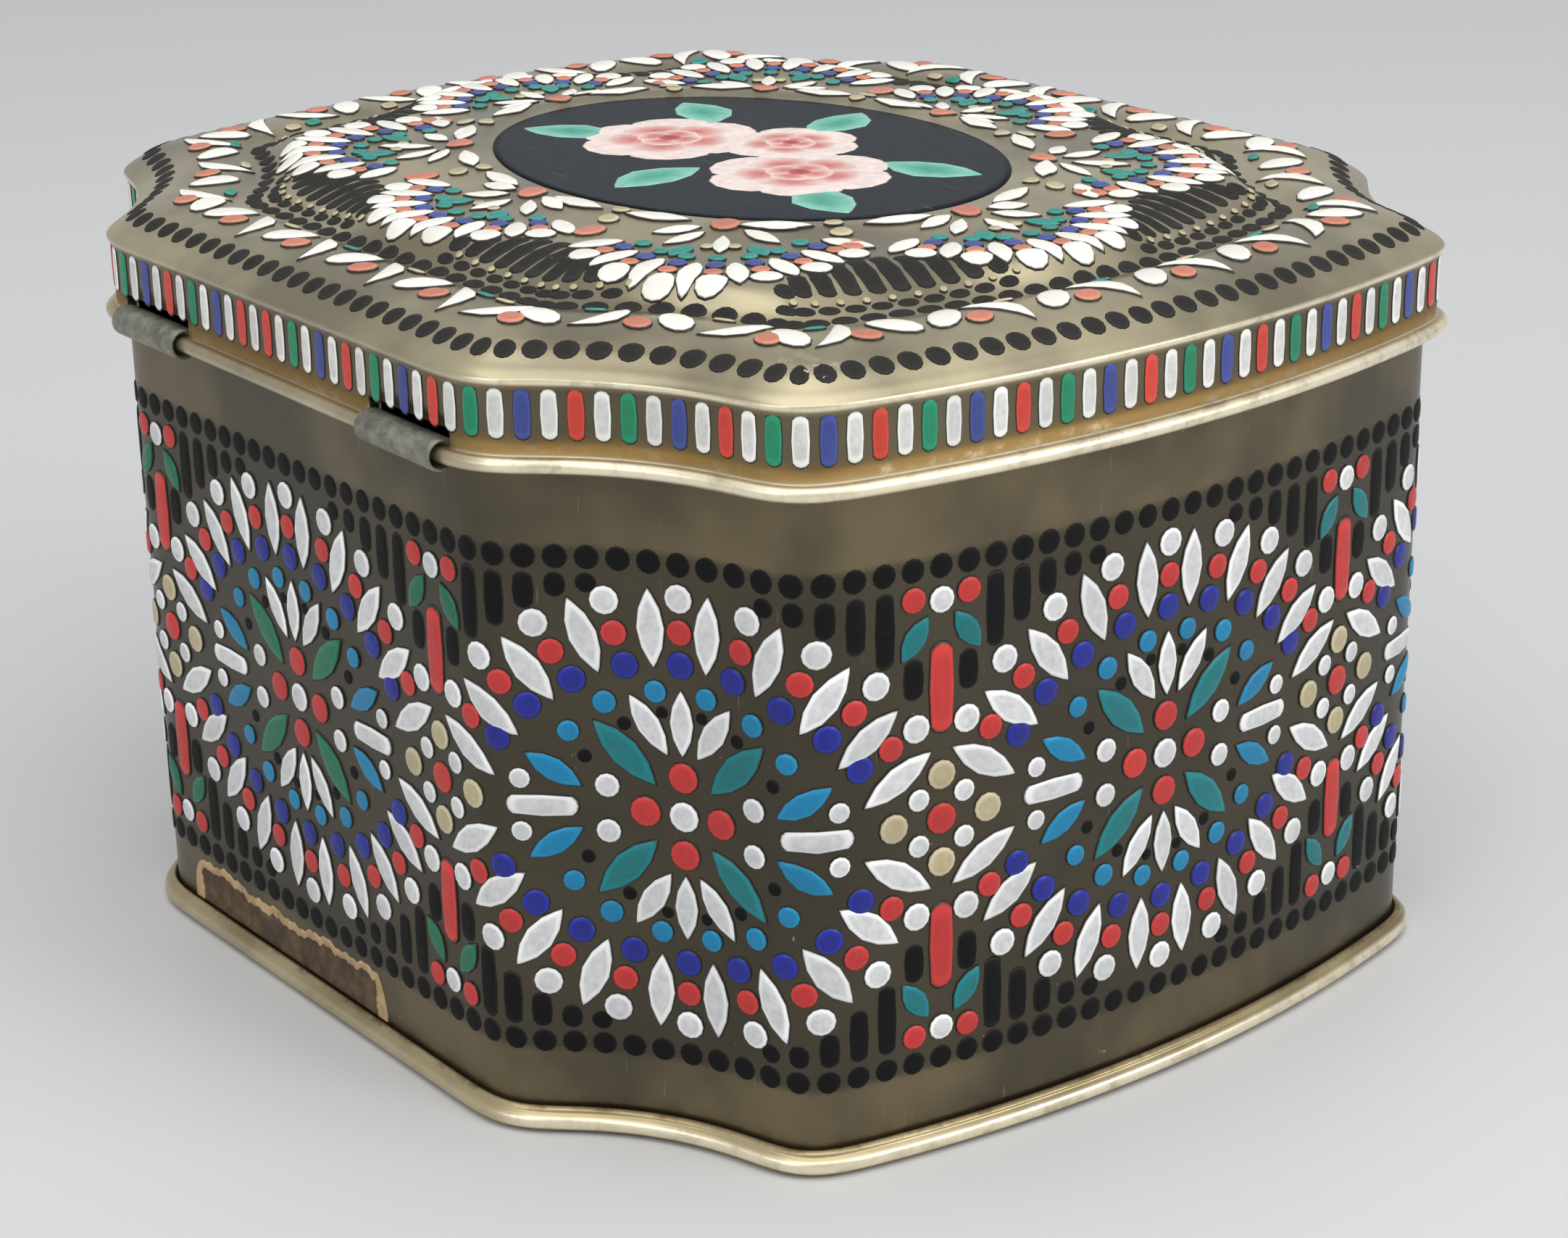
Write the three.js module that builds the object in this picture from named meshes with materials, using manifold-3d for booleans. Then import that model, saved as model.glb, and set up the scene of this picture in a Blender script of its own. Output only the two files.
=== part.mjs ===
// Hinged tin box of eight-sided plan: a tinplate wall embossed with rosettes, a seamed base, a pressed lid.
// Millimetres, +Z up. X runs along the tin, +Y is the hinge side, the origin lies under the middle.
import * as THREE from 'three';
import { mergeVertices } from 'three/addons/utils/BufferGeometryUtils.js';
import Module from 'manifold-3d';

const wasm = await Module();
wasm.setup();

// Plan of the wall: flat back and front, bowed ends, hollowed corner cuts
const faceHalf = 35.2; // half length of the flat back and front
const faceY = 59.4; // distance of back and front from the middle
const endHalf = 43.2; // half width of an end between its corner cuts
const endX = 61.8; // distance of an end's chord from the middle
const endBow = 5.9; // how far an end stands out of its chord
const cutHollow = 3.7; // how far a corner cut sinks behind its chord
const cornerSoftness = 3.2; // reach of the rounding at the eight corners
const planFineness = 960; // points of the plan before it is thinned out to facets
// Facets round the plan; bendWeight is the millimetres that a radian of bend counts for
const wallFacets = { steps: 48, bendWeight: 30 };
const lidFacets = { steps: 56, bendWeight: 12 };

// Sheet and clearances
const sheet = 0.4; // tinplate thickness
const gap = 0.3; // clearance between pieces that touch
const weldReach = 1e-4; // points closer together than this are one

// Wall
const wallFoot = 1.0; // lower edge of the wall, in the seam of the base
const mouthHeight = 78.4; // hemmed upper edge, under the lid
const hemDepth = 1.6; // height of the hem folded inwards
const hemThickness = 0.9; // wall and fold together

// Base seam
const seamOut = 1.75; // how far the seam stands out of the wall
const seamHeight = 2.45;
const seamFull = [0.3, 0.65]; // shares of its height between which the seam is at its fullest
const seamFlat = 0.8; // outer edge of the flat ring that the tin stands on
const seamSlant = 0.6; // slope from that ring up to the underside
const panelUnder = 2.0; // height of the recessed underside

// Lid
const skirtGap = 0.8; // room between wall and lid skirt
const beadRadius = 0.8; // curled lower edge of the skirt
const beadHeight = 70.2; // height of the curl's middle
const beadAngles = [180, 260, 340, 60]; // corners of the curl's section, in degrees
const skirtTop = 77.4;
const ridgeOut = 1.65; // ridge where the skirt turns into the shoulder
const ridgeHeight = 78.3;
const shoulderRise = 1.2; // from the ridge up to where the shoulder is over the skirt again
const shoulderRound = 0.5; // inset, and drop below its inner edge, of the shoulder's middle
const rowInset = 3.0; // inner edge of the shoulder
const rowHeight = 80.95;
const borderHeight = 81.7; // raised border band
const borderFlat = [0.45, 0.8]; // shares of the gutter's inset between which the border is level
const borderInside = 0.6; // the same for the one crest of its inside
const gutterInset = 11.5; // groove between border and cushion
const gutterHeight = 81.1;
const cushionHeight = 83.6; // top of the lobed cushion
const cushionRings = [13, 15, 17.5, 21.5]; // insets of the rings on the cushion's side
const lobeSlope = 2.2; // width of the cushion's side at a lobe
const valleySlope = 9.5; // width of its side between two lobes
const lobes = 8;
const ovalInset = 34; // nominal way from the wall to the oval panel
const ovalHalfX = 33.3;
const ovalHalfY = 25.6;
const ovalHeight = 83.85;
const ovalRim = 84.2; // raised line round the oval panel
const ovalRimAt = 0.93; // share of the oval's inset at which that line lies

// Hinge: two tongues of the wall curled round the lid's bead
const tongueWidth = 13;
const tongueSpread = 24.5; // distance of each tongue from the middle of the pair
const hingeShift = -0.5; // middle of the pair along X
const tongueRoom = 0.45; // clearance round the bead
const tongueStart = 100; // angle, in degrees, at which the curl begins, just behind the top of the bead
const tongueEnd = -2.0; // angle, in radians, at which a tongue ends under the bead
const tongueSteps = 10; // facets of each curve of a tongue
const rootInset = 0.05; // keeps the faces of a tongue's root inside the wall's own
const rootDepth = 0.6; // how far the root reaches down into the wall
const rodSides = 6; // facets of the bead left standing in a slot
const slotHeight = 2.7; // height of the slot in the skirt above the bead's middle
const slotRoom = 0.4; // clearance at each end of a tongue

// Rosettes embossed in the wall, one for each eighth of the way round
const rosettes = 8;
const rosetteHeight = 35.2; // height of the rosette middles
const petalsInQuarter = 5;
const ringHalfWidth = 24.0; // half axes of the ellipse that the petal middles lie on
const ringHalfHeight = 19.5;
const firstPetal = 82; // angle of the petal next to the upright axis, in degrees
const petalStep = 16;
const leastLean = 30; // angle that the petals beside the level axis lean at
const petalHalfLength = 4.3;
const petalHalfWidth = 1.6;
const petalTop = 0.75; // size of a petal's top against its foot
const petalSides = 4;
const reliefHeight = 0.5; // how far the petals stand out
const reliefRoot = 0.25; // how far their solids reach into the sheet

const degrees = Math.PI / 180;

// One stretch of the plan, from where the path stands to a corner, standing out by bow
function bowTo(path, x, y, bow) {
  const from = path.currentPoint;
  const length = Math.hypot(x - from.x, y - from.y);
  const outX = (y - from.y) / length;
  const outY = -(x - from.x) / length;
  const midX = (from.x + x) / 2;
  const midY = (from.y + y) / 2;
  path.quadraticCurveTo(midX + 2 * bow * outX, midY + 2 * bow * outY, x, y);
}

// The plan with sharp corners, counter-clockwise from the middle of the back
function sharpPlan() {
  const path = new THREE.Path();
  path.moveTo(0, faceY);
  path.lineTo(-faceHalf, faceY);
  bowTo(path, -endX, endHalf, -cutHollow);
  bowTo(path, -endX, -endHalf, endBow);
  bowTo(path, -faceHalf, -faceY, -cutHollow);
  path.lineTo(faceHalf, -faceY);
  bowTo(path, endX, -endHalf, -cutHollow);
  bowTo(path, endX, endHalf, endBow);
  bowTo(path, faceHalf, faceY, -cutHollow);
  path.lineTo(0, faceY);
  return path;
}

// Rounds the corners of a closed row of evenly spaced points: averaging neighbours again and again
// spreads each point over a bell curve as wide as the softness
function softened(points, softness) {
  const spacing = points[0].distanceTo(points[1]);
  const passes = Math.round(2 * (softness / spacing) ** 2);
  const count = points.length;
  let now = points;
  for (let pass = 0; pass < passes; pass += 1) {
    now = now.map((point, i) => {
      const before = now[(i + count - 1) % count];
      const after = now[(i + 1) % count];
      const x = (before.x + 2 * point.x + after.x) / 4;
      const y = (before.y + 2 * point.y + after.y) / 4;
      return new THREE.Vector2(x, y);
    });
  }
  return now;
}

// Outline samples, closer together where the plan bends: place, outward direction, share of the way round
function planSamples({ steps, bendWeight }) {
  const fineCount = planFineness;
  const fine = softened(sharpPlan().getSpacedPoints(fineCount).slice(0, fineCount), cornerSoftness);
  const heading = fine.map((point, i) => {
    const after = fine[(i + 1) % fineCount];
    return Math.atan2(after.y - point.y, after.x - point.x);
  });
  const way = [0];
  const weighted = [0];
  for (let i = 0; i < fineCount; i += 1) {
    const length = fine[i].distanceTo(fine[(i + 1) % fineCount]);
    const turn = heading[(i + 1) % fineCount] - heading[i];
    const bend = Math.abs(Math.atan2(Math.sin(turn), Math.cos(turn)));
    way.push(way[i] + length);
    weighted.push(weighted[i] + length + bendWeight * bend);
  }
  const samples = [];
  let i = 0;
  for (let k = 0; k < steps; k += 1) {
    const target = (weighted[fineCount] * k) / steps;
    while (weighted[i + 1] <= target) i += 1;
    const part = (target - weighted[i]) / (weighted[i + 1] - weighted[i]);
    const before = fine[(i + fineCount - 1) % fineCount];
    const here = fine[i];
    const next = fine[(i + 1) % fineCount];
    const along = new THREE.Vector2().subVectors(next, before).normalize();
    samples.push({
      at: new THREE.Vector2().lerpVectors(here, next, part),
      out: new THREE.Vector2(along.y, -along.x),
      share: (way[i] + part * (way[i + 1] - way[i])) / way[fineCount],
    });
  }
  samples.wayRound = way[fineCount];
  return samples;
}

const wallOutline = planSamples(wallFacets);
const lidOutline = planSamples(lidFacets);

// A point of the plan: offset outwards from the wall, or inwards along the way to the oval
function planPoint(sample, offset) {
  if (offset >= -rowInset) {
    return sample.at.clone().addScaledVector(sample.out, offset);
  }
  const start = sample.at.clone().addScaledVector(sample.out, -rowInset);
  const turn = Math.atan2(start.y * endX, start.x * faceY);
  const oval = new THREE.Vector2(ovalHalfX * Math.cos(turn), ovalHalfY * Math.sin(turn));
  return start.lerp(oval, (-offset - rowInset) / (ovalInset - rowInset));
}

// Drops the triangles that shrank to a line and makes a solid of the rest
function solidOf(geometry) {
  geometry.deleteAttribute('normal');
  geometry.deleteAttribute('uv');
  const welded = mergeVertices(geometry, weldReach);
  const corners = welded.index.array;
  const kept = [];
  for (let i = 0; i < corners.length; i += 3) {
    const [a, b, c] = corners.slice(i, i + 3);
    if (a !== b && b !== c && c !== a) kept.push(a, b, c);
  }
  const mesh = new wasm.Mesh({
    numProp: 3,
    vertProperties: new Float32Array(welded.attributes.position.array),
    triVerts: new Uint32Array(kept),
  });
  return new wasm.Manifold(mesh);
}

// A section of [offset, height] points carried round an outline. The height may be a function of
// the share of the way round. onAxis marks a section whose two ends lie on the middle line
function carriedRound(outline, section, onAxis) {
  const profile = section.map((point, j) => new THREE.Vector2(1 + j, 0));
  if (!onAxis) profile.push(profile[0]);
  const geometry = new THREE.LatheGeometry(profile, outline.length);
  const position = geometry.attributes.position;
  for (let k = 0; k < position.count; k += 1) {
    const sample = outline[Math.floor(k / profile.length) % outline.length];
    const j = k % profile.length;
    const [offset, height] = section[j % section.length];
    const atAxis = onAxis && (j === 0 || j === section.length - 1);
    const place = atAxis ? new THREE.Vector2(0, 0) : planPoint(sample, offset);
    const z = typeof height === 'function' ? height(sample.share) : height;
    position.setXYZ(k, place.x, place.y, z);
  }
  return solidOf(geometry);
}

function meshOf(name, solid, material) {
  const mesh = solid.getMesh();
  const geometry = new THREE.BufferGeometry();
  geometry.setAttribute('position', new THREE.BufferAttribute(mesh.vertProperties, 3));
  geometry.setIndex(new THREE.BufferAttribute(mesh.triVerts, 1));
  geometry.computeVertexNormals();
  const part = new THREE.Mesh(geometry, material);
  part.name = name;
  return part;
}

// A block between two corners
function block(low, high) {
  const geometry = new THREE.BoxGeometry(high[0] - low[0], high[1] - low[1], high[2] - low[2]);
  geometry.translate((low[0] + high[0]) / 2, (low[1] + high[1]) / 2, (low[2] + high[2]) / 2);
  return solidOf(geometry);
}

// Where the wall's outside passes, at a share of the way round, and which way is out
function wallAt(share) {
  const wrapped = ((share % 1) + 1) % 1;
  let i = wallOutline.length - 1;
  while (wallOutline[i].share > wrapped) i -= 1;
  const here = wallOutline[i];
  const next = wallOutline[(i + 1) % wallOutline.length];
  const end = next.share > here.share ? next.share : 1;
  const part = (wrapped - here.share) / (end - here.share);
  return {
    at: new THREE.Vector2().lerpVectors(here.at, next.at, part),
    out: new THREE.Vector2().lerpVectors(here.out, next.out, part).normalize(),
  };
}

// A pointed petal bent onto the wall: a low four-sided pad. Its middle lies at (side, up) from the
// rosette's middle
function petalOnWall(rosette, side, up, turn) {
  const geometry = new THREE.CylinderGeometry(petalTop, 1, 1, petalSides);
  geometry.rotateX(Math.PI / 2);
  const position = geometry.attributes.position;
  for (let k = 0; k < position.count; k += 1) {
    const along = position.getX(k) * petalHalfLength;
    const across = position.getY(k) * petalHalfWidth;
    const rise = position.getZ(k) > 0 ? reliefHeight : -reliefRoot;
    const sideways = side + along * Math.cos(turn) - across * Math.sin(turn);
    const upwards = up + along * Math.sin(turn) + across * Math.cos(turn);
    const wall = wallAt(rosette / rosettes + sideways / wallOutline.wayRound);
    const place = wall.at.addScaledVector(wall.out, rise);
    position.setXYZ(k, place.x, place.y, rosetteHeight + upwards);
  }
  return solidOf(geometry);
}

// The ring of petals of one rosette
function rosetteRelief(rosette) {
  const relief = [];
  for (const mirrorX of [1, -1]) {
    for (const mirrorY of [1, -1]) {
      for (let k = 0; k < petalsInQuarter; k += 1) {
        const angle = (firstPetal - k * petalStep) * degrees;
        const side = mirrorX * ringHalfWidth * Math.cos(angle);
        const up = mirrorY * ringHalfHeight * Math.sin(angle);
        const lean = Math.max(angle, leastLean * degrees);
        const turn = Math.atan2(mirrorY * Math.sin(lean), mirrorX * Math.cos(lean));
        relief.push(petalOnWall(rosette, side, up, turn));
      }
    }
  }
  return relief;
}

const hingeY = faceY + skirtGap + beadRadius; // the bead's middle, on the back
const tongueMiddles = [-1, 1].map((side) => hingeShift + side * tongueSpread);

// A tongue: rises in the plane of the wall, passes out over the bead and curls down round it
function hingeTongue(middle) {
  const inner = beadRadius + tongueRoom;
  const outer = inner + sheet;
  const wallOutside = faceY - hingeY;
  const start = tongueStart * degrees;
  const shape = new THREE.Shape();
  shape.moveTo(wallOutside - sheet + rootInset, -rootDepth);
  shape.lineTo(wallOutside - rootInset, -rootDepth);
  shape.quadraticCurveTo(wallOutside, inner, inner * Math.cos(start), inner * Math.sin(start));
  shape.absarc(0, 0, inner, start, tongueEnd, true);
  shape.lineTo(outer * Math.cos(tongueEnd), outer * Math.sin(tongueEnd));
  shape.absarc(0, 0, outer, tongueEnd, start, false);
  shape.quadraticCurveTo(wallOutside - sheet, outer, wallOutside - sheet + rootInset, -rootDepth);
  const geometry = new THREE.ExtrudeGeometry(shape, {
    depth: tongueWidth,
    bevelEnabled: false,
    curveSegments: tongueSteps,
  });
  const alongY = new THREE.Vector3(0, 1, 0);
  const alongZ = new THREE.Vector3(0, 0, 1);
  const alongX = new THREE.Vector3(1, 0, 0);
  geometry.applyMatrix4(new THREE.Matrix4().makeBasis(alongY, alongZ, alongX));
  geometry.translate(middle - tongueWidth / 2, hingeY, beadHeight);
  return solidOf(geometry);
}

// The wall: hemmed at the mouth, notched where the tongues leave it
function bodyWall() {
  const wall = carriedRound(wallOutline, [
    [0, wallFoot],
    [0, mouthHeight],
    [-hemThickness, mouthHeight],
    [-hemThickness, mouthHeight - hemDepth],
    [-sheet, mouthHeight - hemDepth - sheet],
    [-sheet, wallFoot],
  ], false);
  const reach = tongueWidth / 2 + gap;
  const notches = tongueMiddles.map((middle) => block(
    [middle - reach, faceY - 2 * hemThickness, beadHeight],
    [middle + reach, faceY + gap, mouthHeight + gap],
  ));
  const relief = [];
  for (let rosette = 0; rosette < rosettes; rosette += 1) relief.push(...rosetteRelief(rosette));
  const notched = wall.subtract(wasm.Manifold.union(notches));
  return wasm.Manifold.union([notched, ...tongueMiddles.map(hingeTongue), ...relief]);
}

// The base: a recessed panel whose edge turns down, out and up round the foot of the wall
function basePlate() {
  const grooveIn = -sheet - gap;
  const grooveFloor = wallFoot - gap;
  return carriedRound(wallOutline, [
    [-ovalInset, panelUnder],
    [grooveIn - seamSlant, panelUnder],
    [grooveIn - sheet, 0],
    [seamFlat, 0],
    [seamOut, seamFull[0] * seamHeight],
    [seamOut, seamFull[1] * seamHeight],
    [gap, seamHeight],
    [gap, grooveFloor],
    [grooveIn, grooveFloor],
    [grooveIn, panelUnder + sheet],
    [-ovalInset, panelUnder + sheet],
  ], true);
}

// Height of the cushion at an inset: its side is steep at the lobes and long between them
function cushionAt(inset) {
  return (share) => {
    const lobe = 0.5 + 0.5 * Math.cos(2 * Math.PI * lobes * share);
    const width = valleySlope + (lobeSlope - valleySlope) * lobe;
    const rise = THREE.MathUtils.smoothstep(inset - gutterInset, 0, width);
    return gutterHeight + (cushionHeight - gutterHeight) * rise;
  };
}

// The same height on the inside of the sheet
function under(height) {
  return (share) => height(share) - sheet;
}

// The lid: curled bead, upright skirt, rounded shoulder, border band, gutter, lobed cushion, oval panel
function lidSolid() {
  const skirtIn = skirtGap;
  const skirtOut = skirtGap + sheet;
  const beadOut = skirtGap + beadRadius;
  const bead = beadAngles.map((angle) => [
    beadOut + beadRadius * Math.cos(angle * degrees),
    beadHeight + beadRadius * Math.sin(angle * degrees),
  ]);
  const lid = carriedRound(lidOutline, [
    [-ovalInset, ovalHeight - sheet],
    [-ovalInset, ovalHeight - sheet],
    [-cushionRings[3], under(cushionAt(cushionRings[3]))],
    [-cushionRings[1], under(cushionAt(cushionRings[1]))],
    [-gutterInset, gutterHeight - sheet],
    [-borderInside * gutterInset, borderHeight - sheet],
    [-rowInset, rowHeight - sheet],
    [skirtIn / 2, ridgeHeight + sheet],
    [skirtIn, skirtTop],
    ...bead,
    [skirtOut, beadHeight + beadRadius],
    [skirtOut, skirtTop],
    [ridgeOut, ridgeHeight],
    [skirtOut, ridgeHeight + shoulderRise],
    [-shoulderRound, rowHeight - shoulderRound],
    [-rowInset, rowHeight],
    [-borderFlat[0] * gutterInset, borderHeight],
    [-borderFlat[1] * gutterInset, borderHeight],
    [-gutterInset, gutterHeight],
    ...cushionRings.map((inset) => [-inset, cushionAt(inset)]),
    [-ovalRimAt * ovalInset, ovalRim],
    [-ovalInset, ovalHeight],
    [-ovalInset, ovalHeight],
  ], true);
  return lid.subtract(wasm.Manifold.union(tongueMiddles.map(hingeSlot)));
}

// What a slot takes out of the skirt: all but the bead itself, which the tongue turns on
function hingeSlot(middle) {
  const reach = tongueWidth / 2 + slotRoom;
  const slot = block(
    [middle - reach, faceY + gap, beadHeight - beadRadius / 2],
    [middle + reach, hingeY + 2 * beadRadius, beadHeight + slotHeight],
  );
  const rod = new THREE.CylinderGeometry(beadRadius, beadRadius, 4 * tongueWidth, rodSides);
  rod.rotateZ(Math.PI / 2);
  rod.translate(middle, hingeY, beadHeight);
  return slot.subtract(solidOf(rod));
}

const gold = { color: 0x8a7a50, roughness: 0.38, metalness: 0.9 };
const tin = new THREE.Group();
tin.add(meshOf('body_wall', bodyWall(), new THREE.MeshStandardMaterial(gold)));
tin.add(meshOf('base_plate', basePlate(), new THREE.MeshStandardMaterial({ ...gold, color: 0xb09a62 })));
tin.add(meshOf('lid', lidSolid(), new THREE.MeshStandardMaterial({ ...gold, color: 0x9c8a5a })));

export default tin;
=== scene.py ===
import bpy
import numpy as np
from mathutils import Matrix, Vector


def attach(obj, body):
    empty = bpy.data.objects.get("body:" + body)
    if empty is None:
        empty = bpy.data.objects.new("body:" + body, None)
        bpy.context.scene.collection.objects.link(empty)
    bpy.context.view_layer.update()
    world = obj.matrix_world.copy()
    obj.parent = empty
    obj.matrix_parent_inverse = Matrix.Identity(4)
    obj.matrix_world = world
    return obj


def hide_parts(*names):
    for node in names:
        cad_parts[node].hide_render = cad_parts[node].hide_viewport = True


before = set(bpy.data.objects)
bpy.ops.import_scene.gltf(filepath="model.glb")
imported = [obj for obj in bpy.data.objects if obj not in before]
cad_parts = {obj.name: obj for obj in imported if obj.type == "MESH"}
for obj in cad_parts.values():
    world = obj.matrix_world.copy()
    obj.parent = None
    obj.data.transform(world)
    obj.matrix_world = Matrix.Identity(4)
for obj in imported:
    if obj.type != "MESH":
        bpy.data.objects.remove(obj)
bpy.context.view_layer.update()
chance = np.random.default_rng(11)
mm = 0.001  # shapes are worked out in millimetres

# Plan of the tin: flat back and front, bowed ends, hollowed corner cuts, softened corners. "stretch" and
# "samples" are the points of one stretch and of the whole outline
plan = {
    "faceHalf": 35.2, "faceY": 59.4, "endHalf": 43.2, "endX": 61.8,
    "endBow": 5.9, "cutHollow": 3.7, "softness": 3.2, "stretch": 200, "samples": 2048,
}


# A stretch from a to b that stands out of its chord by bow: a parabola over the chord
def bowed(a, b, bow):
    a, b = np.array(a), np.array(b)
    t = np.linspace(0, 1, plan["stretch"], endpoint=False)[:, None]
    out = np.array([b[1] - a[1], a[0] - b[0]]) / np.hypot(*(b - a))
    return a + (b - a) * t + out * (4 * bow * t * (1 - t))


# The closed plan from the middle of the back, counter-clockwise: evenly spaced points of the sharp
# outline, blurred with a bell curve as wide as the softness (done on their Fourier terms)
def planOutline(p):
    fh, fy, eh, ex = p["faceHalf"], p["faceY"], p["endHalf"], p["endX"]
    end, cut = p["endBow"], -p["cutHollow"]
    corners = [(0, fy), (-fh, fy), (-ex, eh), (-ex, -eh), (-fh, -fy)]
    corners += [(fh, -fy), (ex, -eh), (ex, eh), (fh, fy), (0, fy)]
    bows = [0, cut, end, cut, 0, cut, end, cut, 0]
    stretches = [bowed(a, b, bow) for a, b, bow in zip(corners[:-1], corners[1:], bows)]
    sharp = np.concatenate(stretches + [[(0.0, fy)]])
    way = np.concatenate([[0], np.cumsum(np.hypot(*np.diff(sharp, axis=0).T))])
    even = np.linspace(0, way[-1], p["samples"], endpoint=False)
    places = np.interp(even, way, sharp[:, 0]) + 1j * np.interp(even, way, sharp[:, 1])
    waves = np.fft.fftfreq(p["samples"], way[-1] / p["samples"]) * 2 * np.pi
    soft = np.fft.fft(places) * np.exp(-0.5 * (waves * p["softness"]) ** 2)
    line, slope = np.fft.ifft(soft), np.fft.ifft(1j * waves * soft)
    outward = -1j * slope / np.abs(slope)
    line, outward = np.append(line, line[0]), np.append(outward, outward[0])
    return np.concatenate([[0], np.cumsum(np.abs(np.diff(line)))]), line, outward


wayAlong, planLine, planOut = planOutline(plan)
wayRound = wayAlong[-1]
rosettes = 8
pitch = wayRound / rosettes  # one rosette for each eighth of the way round


# A place of the plan at a way s round it, moved outwards by offset, as x and y
def planAt(s, offset=0.0):
    s = np.mod(s, wayRound)
    place = np.interp(s, wayAlong, planLine.real) + 1j * np.interp(s, wayAlong, planLine.imag)
    out = np.interp(s, wayAlong, planOut.real) + 1j * np.interp(s, wayAlong, planOut.imag)
    place = place + offset * out / np.abs(out)
    return place.real, place.imag


# Puts points (millimetres) and faces into a mesh object that rides on a body
def addPiece(name, points, faces, body, material, marks=None, colours=None, node=None):
    mesh = bpy.data.meshes.new(name)
    mesh.from_pydata((np.asarray(points) * mm).tolist(), [], faces)
    mesh.polygons.foreach_set("use_smooth", np.ones(len(mesh.polygons), dtype=bool))
    for label, values in (marks or {}).items():
        layer = mesh.attributes.new(label, "FLOAT", "POINT")
        layer.data.foreach_set("value", np.ravel(values).astype(np.float32))
    if colours is not None:
        filled = np.concatenate([colours, np.ones((len(colours), 1))], axis=1)
        layer = mesh.attributes.new("paint", "FLOAT_COLOR", "POINT")
        layer.data.foreach_set("color", filled.ravel().astype(np.float32))
    mesh.materials.append(material)
    mesh.update()
    piece = bpy.data.objects.new(name, mesh)
    bpy.context.scene.collection.objects.link(piece)
    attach(piece, body)
    if node:
        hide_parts(node)


# Quads of a grid of rows x columns whose columns close round; closed rows join the last row to the first
def gridFaces(rows, columns, closedRows=False):
    r = np.arange(rows if closedRows else rows - 1)[:, None]
    c = np.arange(columns)[None, :]
    right, above = (c + 1) % columns, (r + 1) % rows
    corners = [r * columns + c, r * columns + right, above * columns + right, above * columns + c]
    return np.stack(corners, axis=-1)


# A smooth line through key points: Catmull-Rom pieces with the given number of steps each
def smoothThrough(keys, steps):
    keys = np.array(keys, dtype=float)
    padded = np.concatenate([2 * keys[:1] - keys[1:2], keys, 2 * keys[-1:] - keys[-2:-1]])
    t = np.linspace(0, 1, steps, endpoint=False)[None, :, None]
    a, b, c, d = (padded[i:len(keys) - 1 + i, None, :] for i in range(4))
    curve = 2 * b + (c - a) * t + (2 * a - 5 * b + 4 * c - d) * t ** 2 + (3 * b - a - 3 * c + d) * t ** 3
    return np.concatenate([0.5 * curve.reshape(-1, keys.shape[1]), keys[-1:]])


# A socket of a material's tree. Operators add Math nodes, node() adds any other one
class Wire:
    def __init__(self, tree, socket=None):
        self.tree = tree
        self.socket = socket

    # settings first, then the sockets' values or links
    def node(self, kind, settings, sockets, output=0):
        made = self.tree.nodes.new(kind)
        for key, value in settings.items():
            setattr(made, key, value)
        for key, value in sockets.items():
            if isinstance(value, Wire):
                self.tree.links.new(value.socket, made.inputs[key])
            else:
                made.inputs[key].default_value = value
        return Wire(self.tree, made.outputs[output])

    def maths(self, operation, first, second=0.0):
        return self.node("ShaderNodeMath", {"operation": operation}, {0: first, 1: second})

    def __add__(self, other):
        return self.maths("ADD", self, other)

    def __sub__(self, other):
        return self.maths("SUBTRACT", self, other)

    def __rsub__(self, other):
        return self.maths("SUBTRACT", other, self)

    def __mul__(self, other):
        return self.maths("MULTIPLY", self, other)

    __radd__ = __add__
    __rmul__ = __mul__

    # 0 below low, 1 above high, smooth between
    def step(self, low, high):
        sockets = {"Value": self, "From Min": low, "From Max": high}
        return self.node("ShaderNodeMapRange", {"interpolation_type": "SMOOTHSTEP"}, sockets)

    # this wire's value mixes colour a into colour b
    def mix(self, a, b):
        return self.node("ShaderNodeMix", {"data_type": "RGBA"}, {0: self, 6: a, 7: b}, 2)


def colour(r, g, b):
    return (r, g, b, 1.0)


# A colour made darker or lighter, with a little grey added
def shaded(tint, factor, grey=0.0):
    return colour(*[factor * c + grey for c in tint])


# A new material: its start wire, its Object coordinates and its shader
def newMaterial(name):
    material = bpy.data.materials.new(name)
    material.use_nodes = True
    start = Wire(material.node_tree)
    places = start.node("ShaderNodeTexCoord", {}, {}, "Object")
    return material, start, places, material.node_tree.nodes["Principled BSDF"]


# Noise whose lumps measure about size millimetres
def noise(start, places, size, detail=3.0, rough=0.55):
    sockets = {"Vector": places, "Scale": 1 / (size * mm), "Detail": detail, "Roughness": rough}
    return start.node("ShaderNodeTexNoise", {}, sockets)


# A number that the mesh carries at its points
def mark(start, label):
    return start.node("ShaderNodeAttribute", {"attribute_name": label}, {}, "Fac")


def connect(start, shader, links):
    for key, wire in links.items():
        start.tree.links.new(wire.socket, shader.inputs[key])


# Bump from a height wire
def bump(start, height, strength, reach):
    sockets = {"Height": height, "Strength": strength, "Distance": reach * mm}
    return start.node("ShaderNodeBump", {}, sockets)


# 1 at a place given in millimetres, 0 from reach on
def nearPlace(start, places, place, reach):
    sockets = {0: places, 1: tuple(mm * c for c in place)}
    away = start.node("ShaderNodeVectorMath", {"operation": "DISTANCE"}, sockets, "Value")
    return 1.0 - away.step(0.0, reach * mm)


# 1 between two heights, 0 outside, soft over the given width
def heightBand(z, low, high, soft):
    return z.step(low - soft, low + soft) * (1.0 - z.step(high - soft, high + soft))


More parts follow.
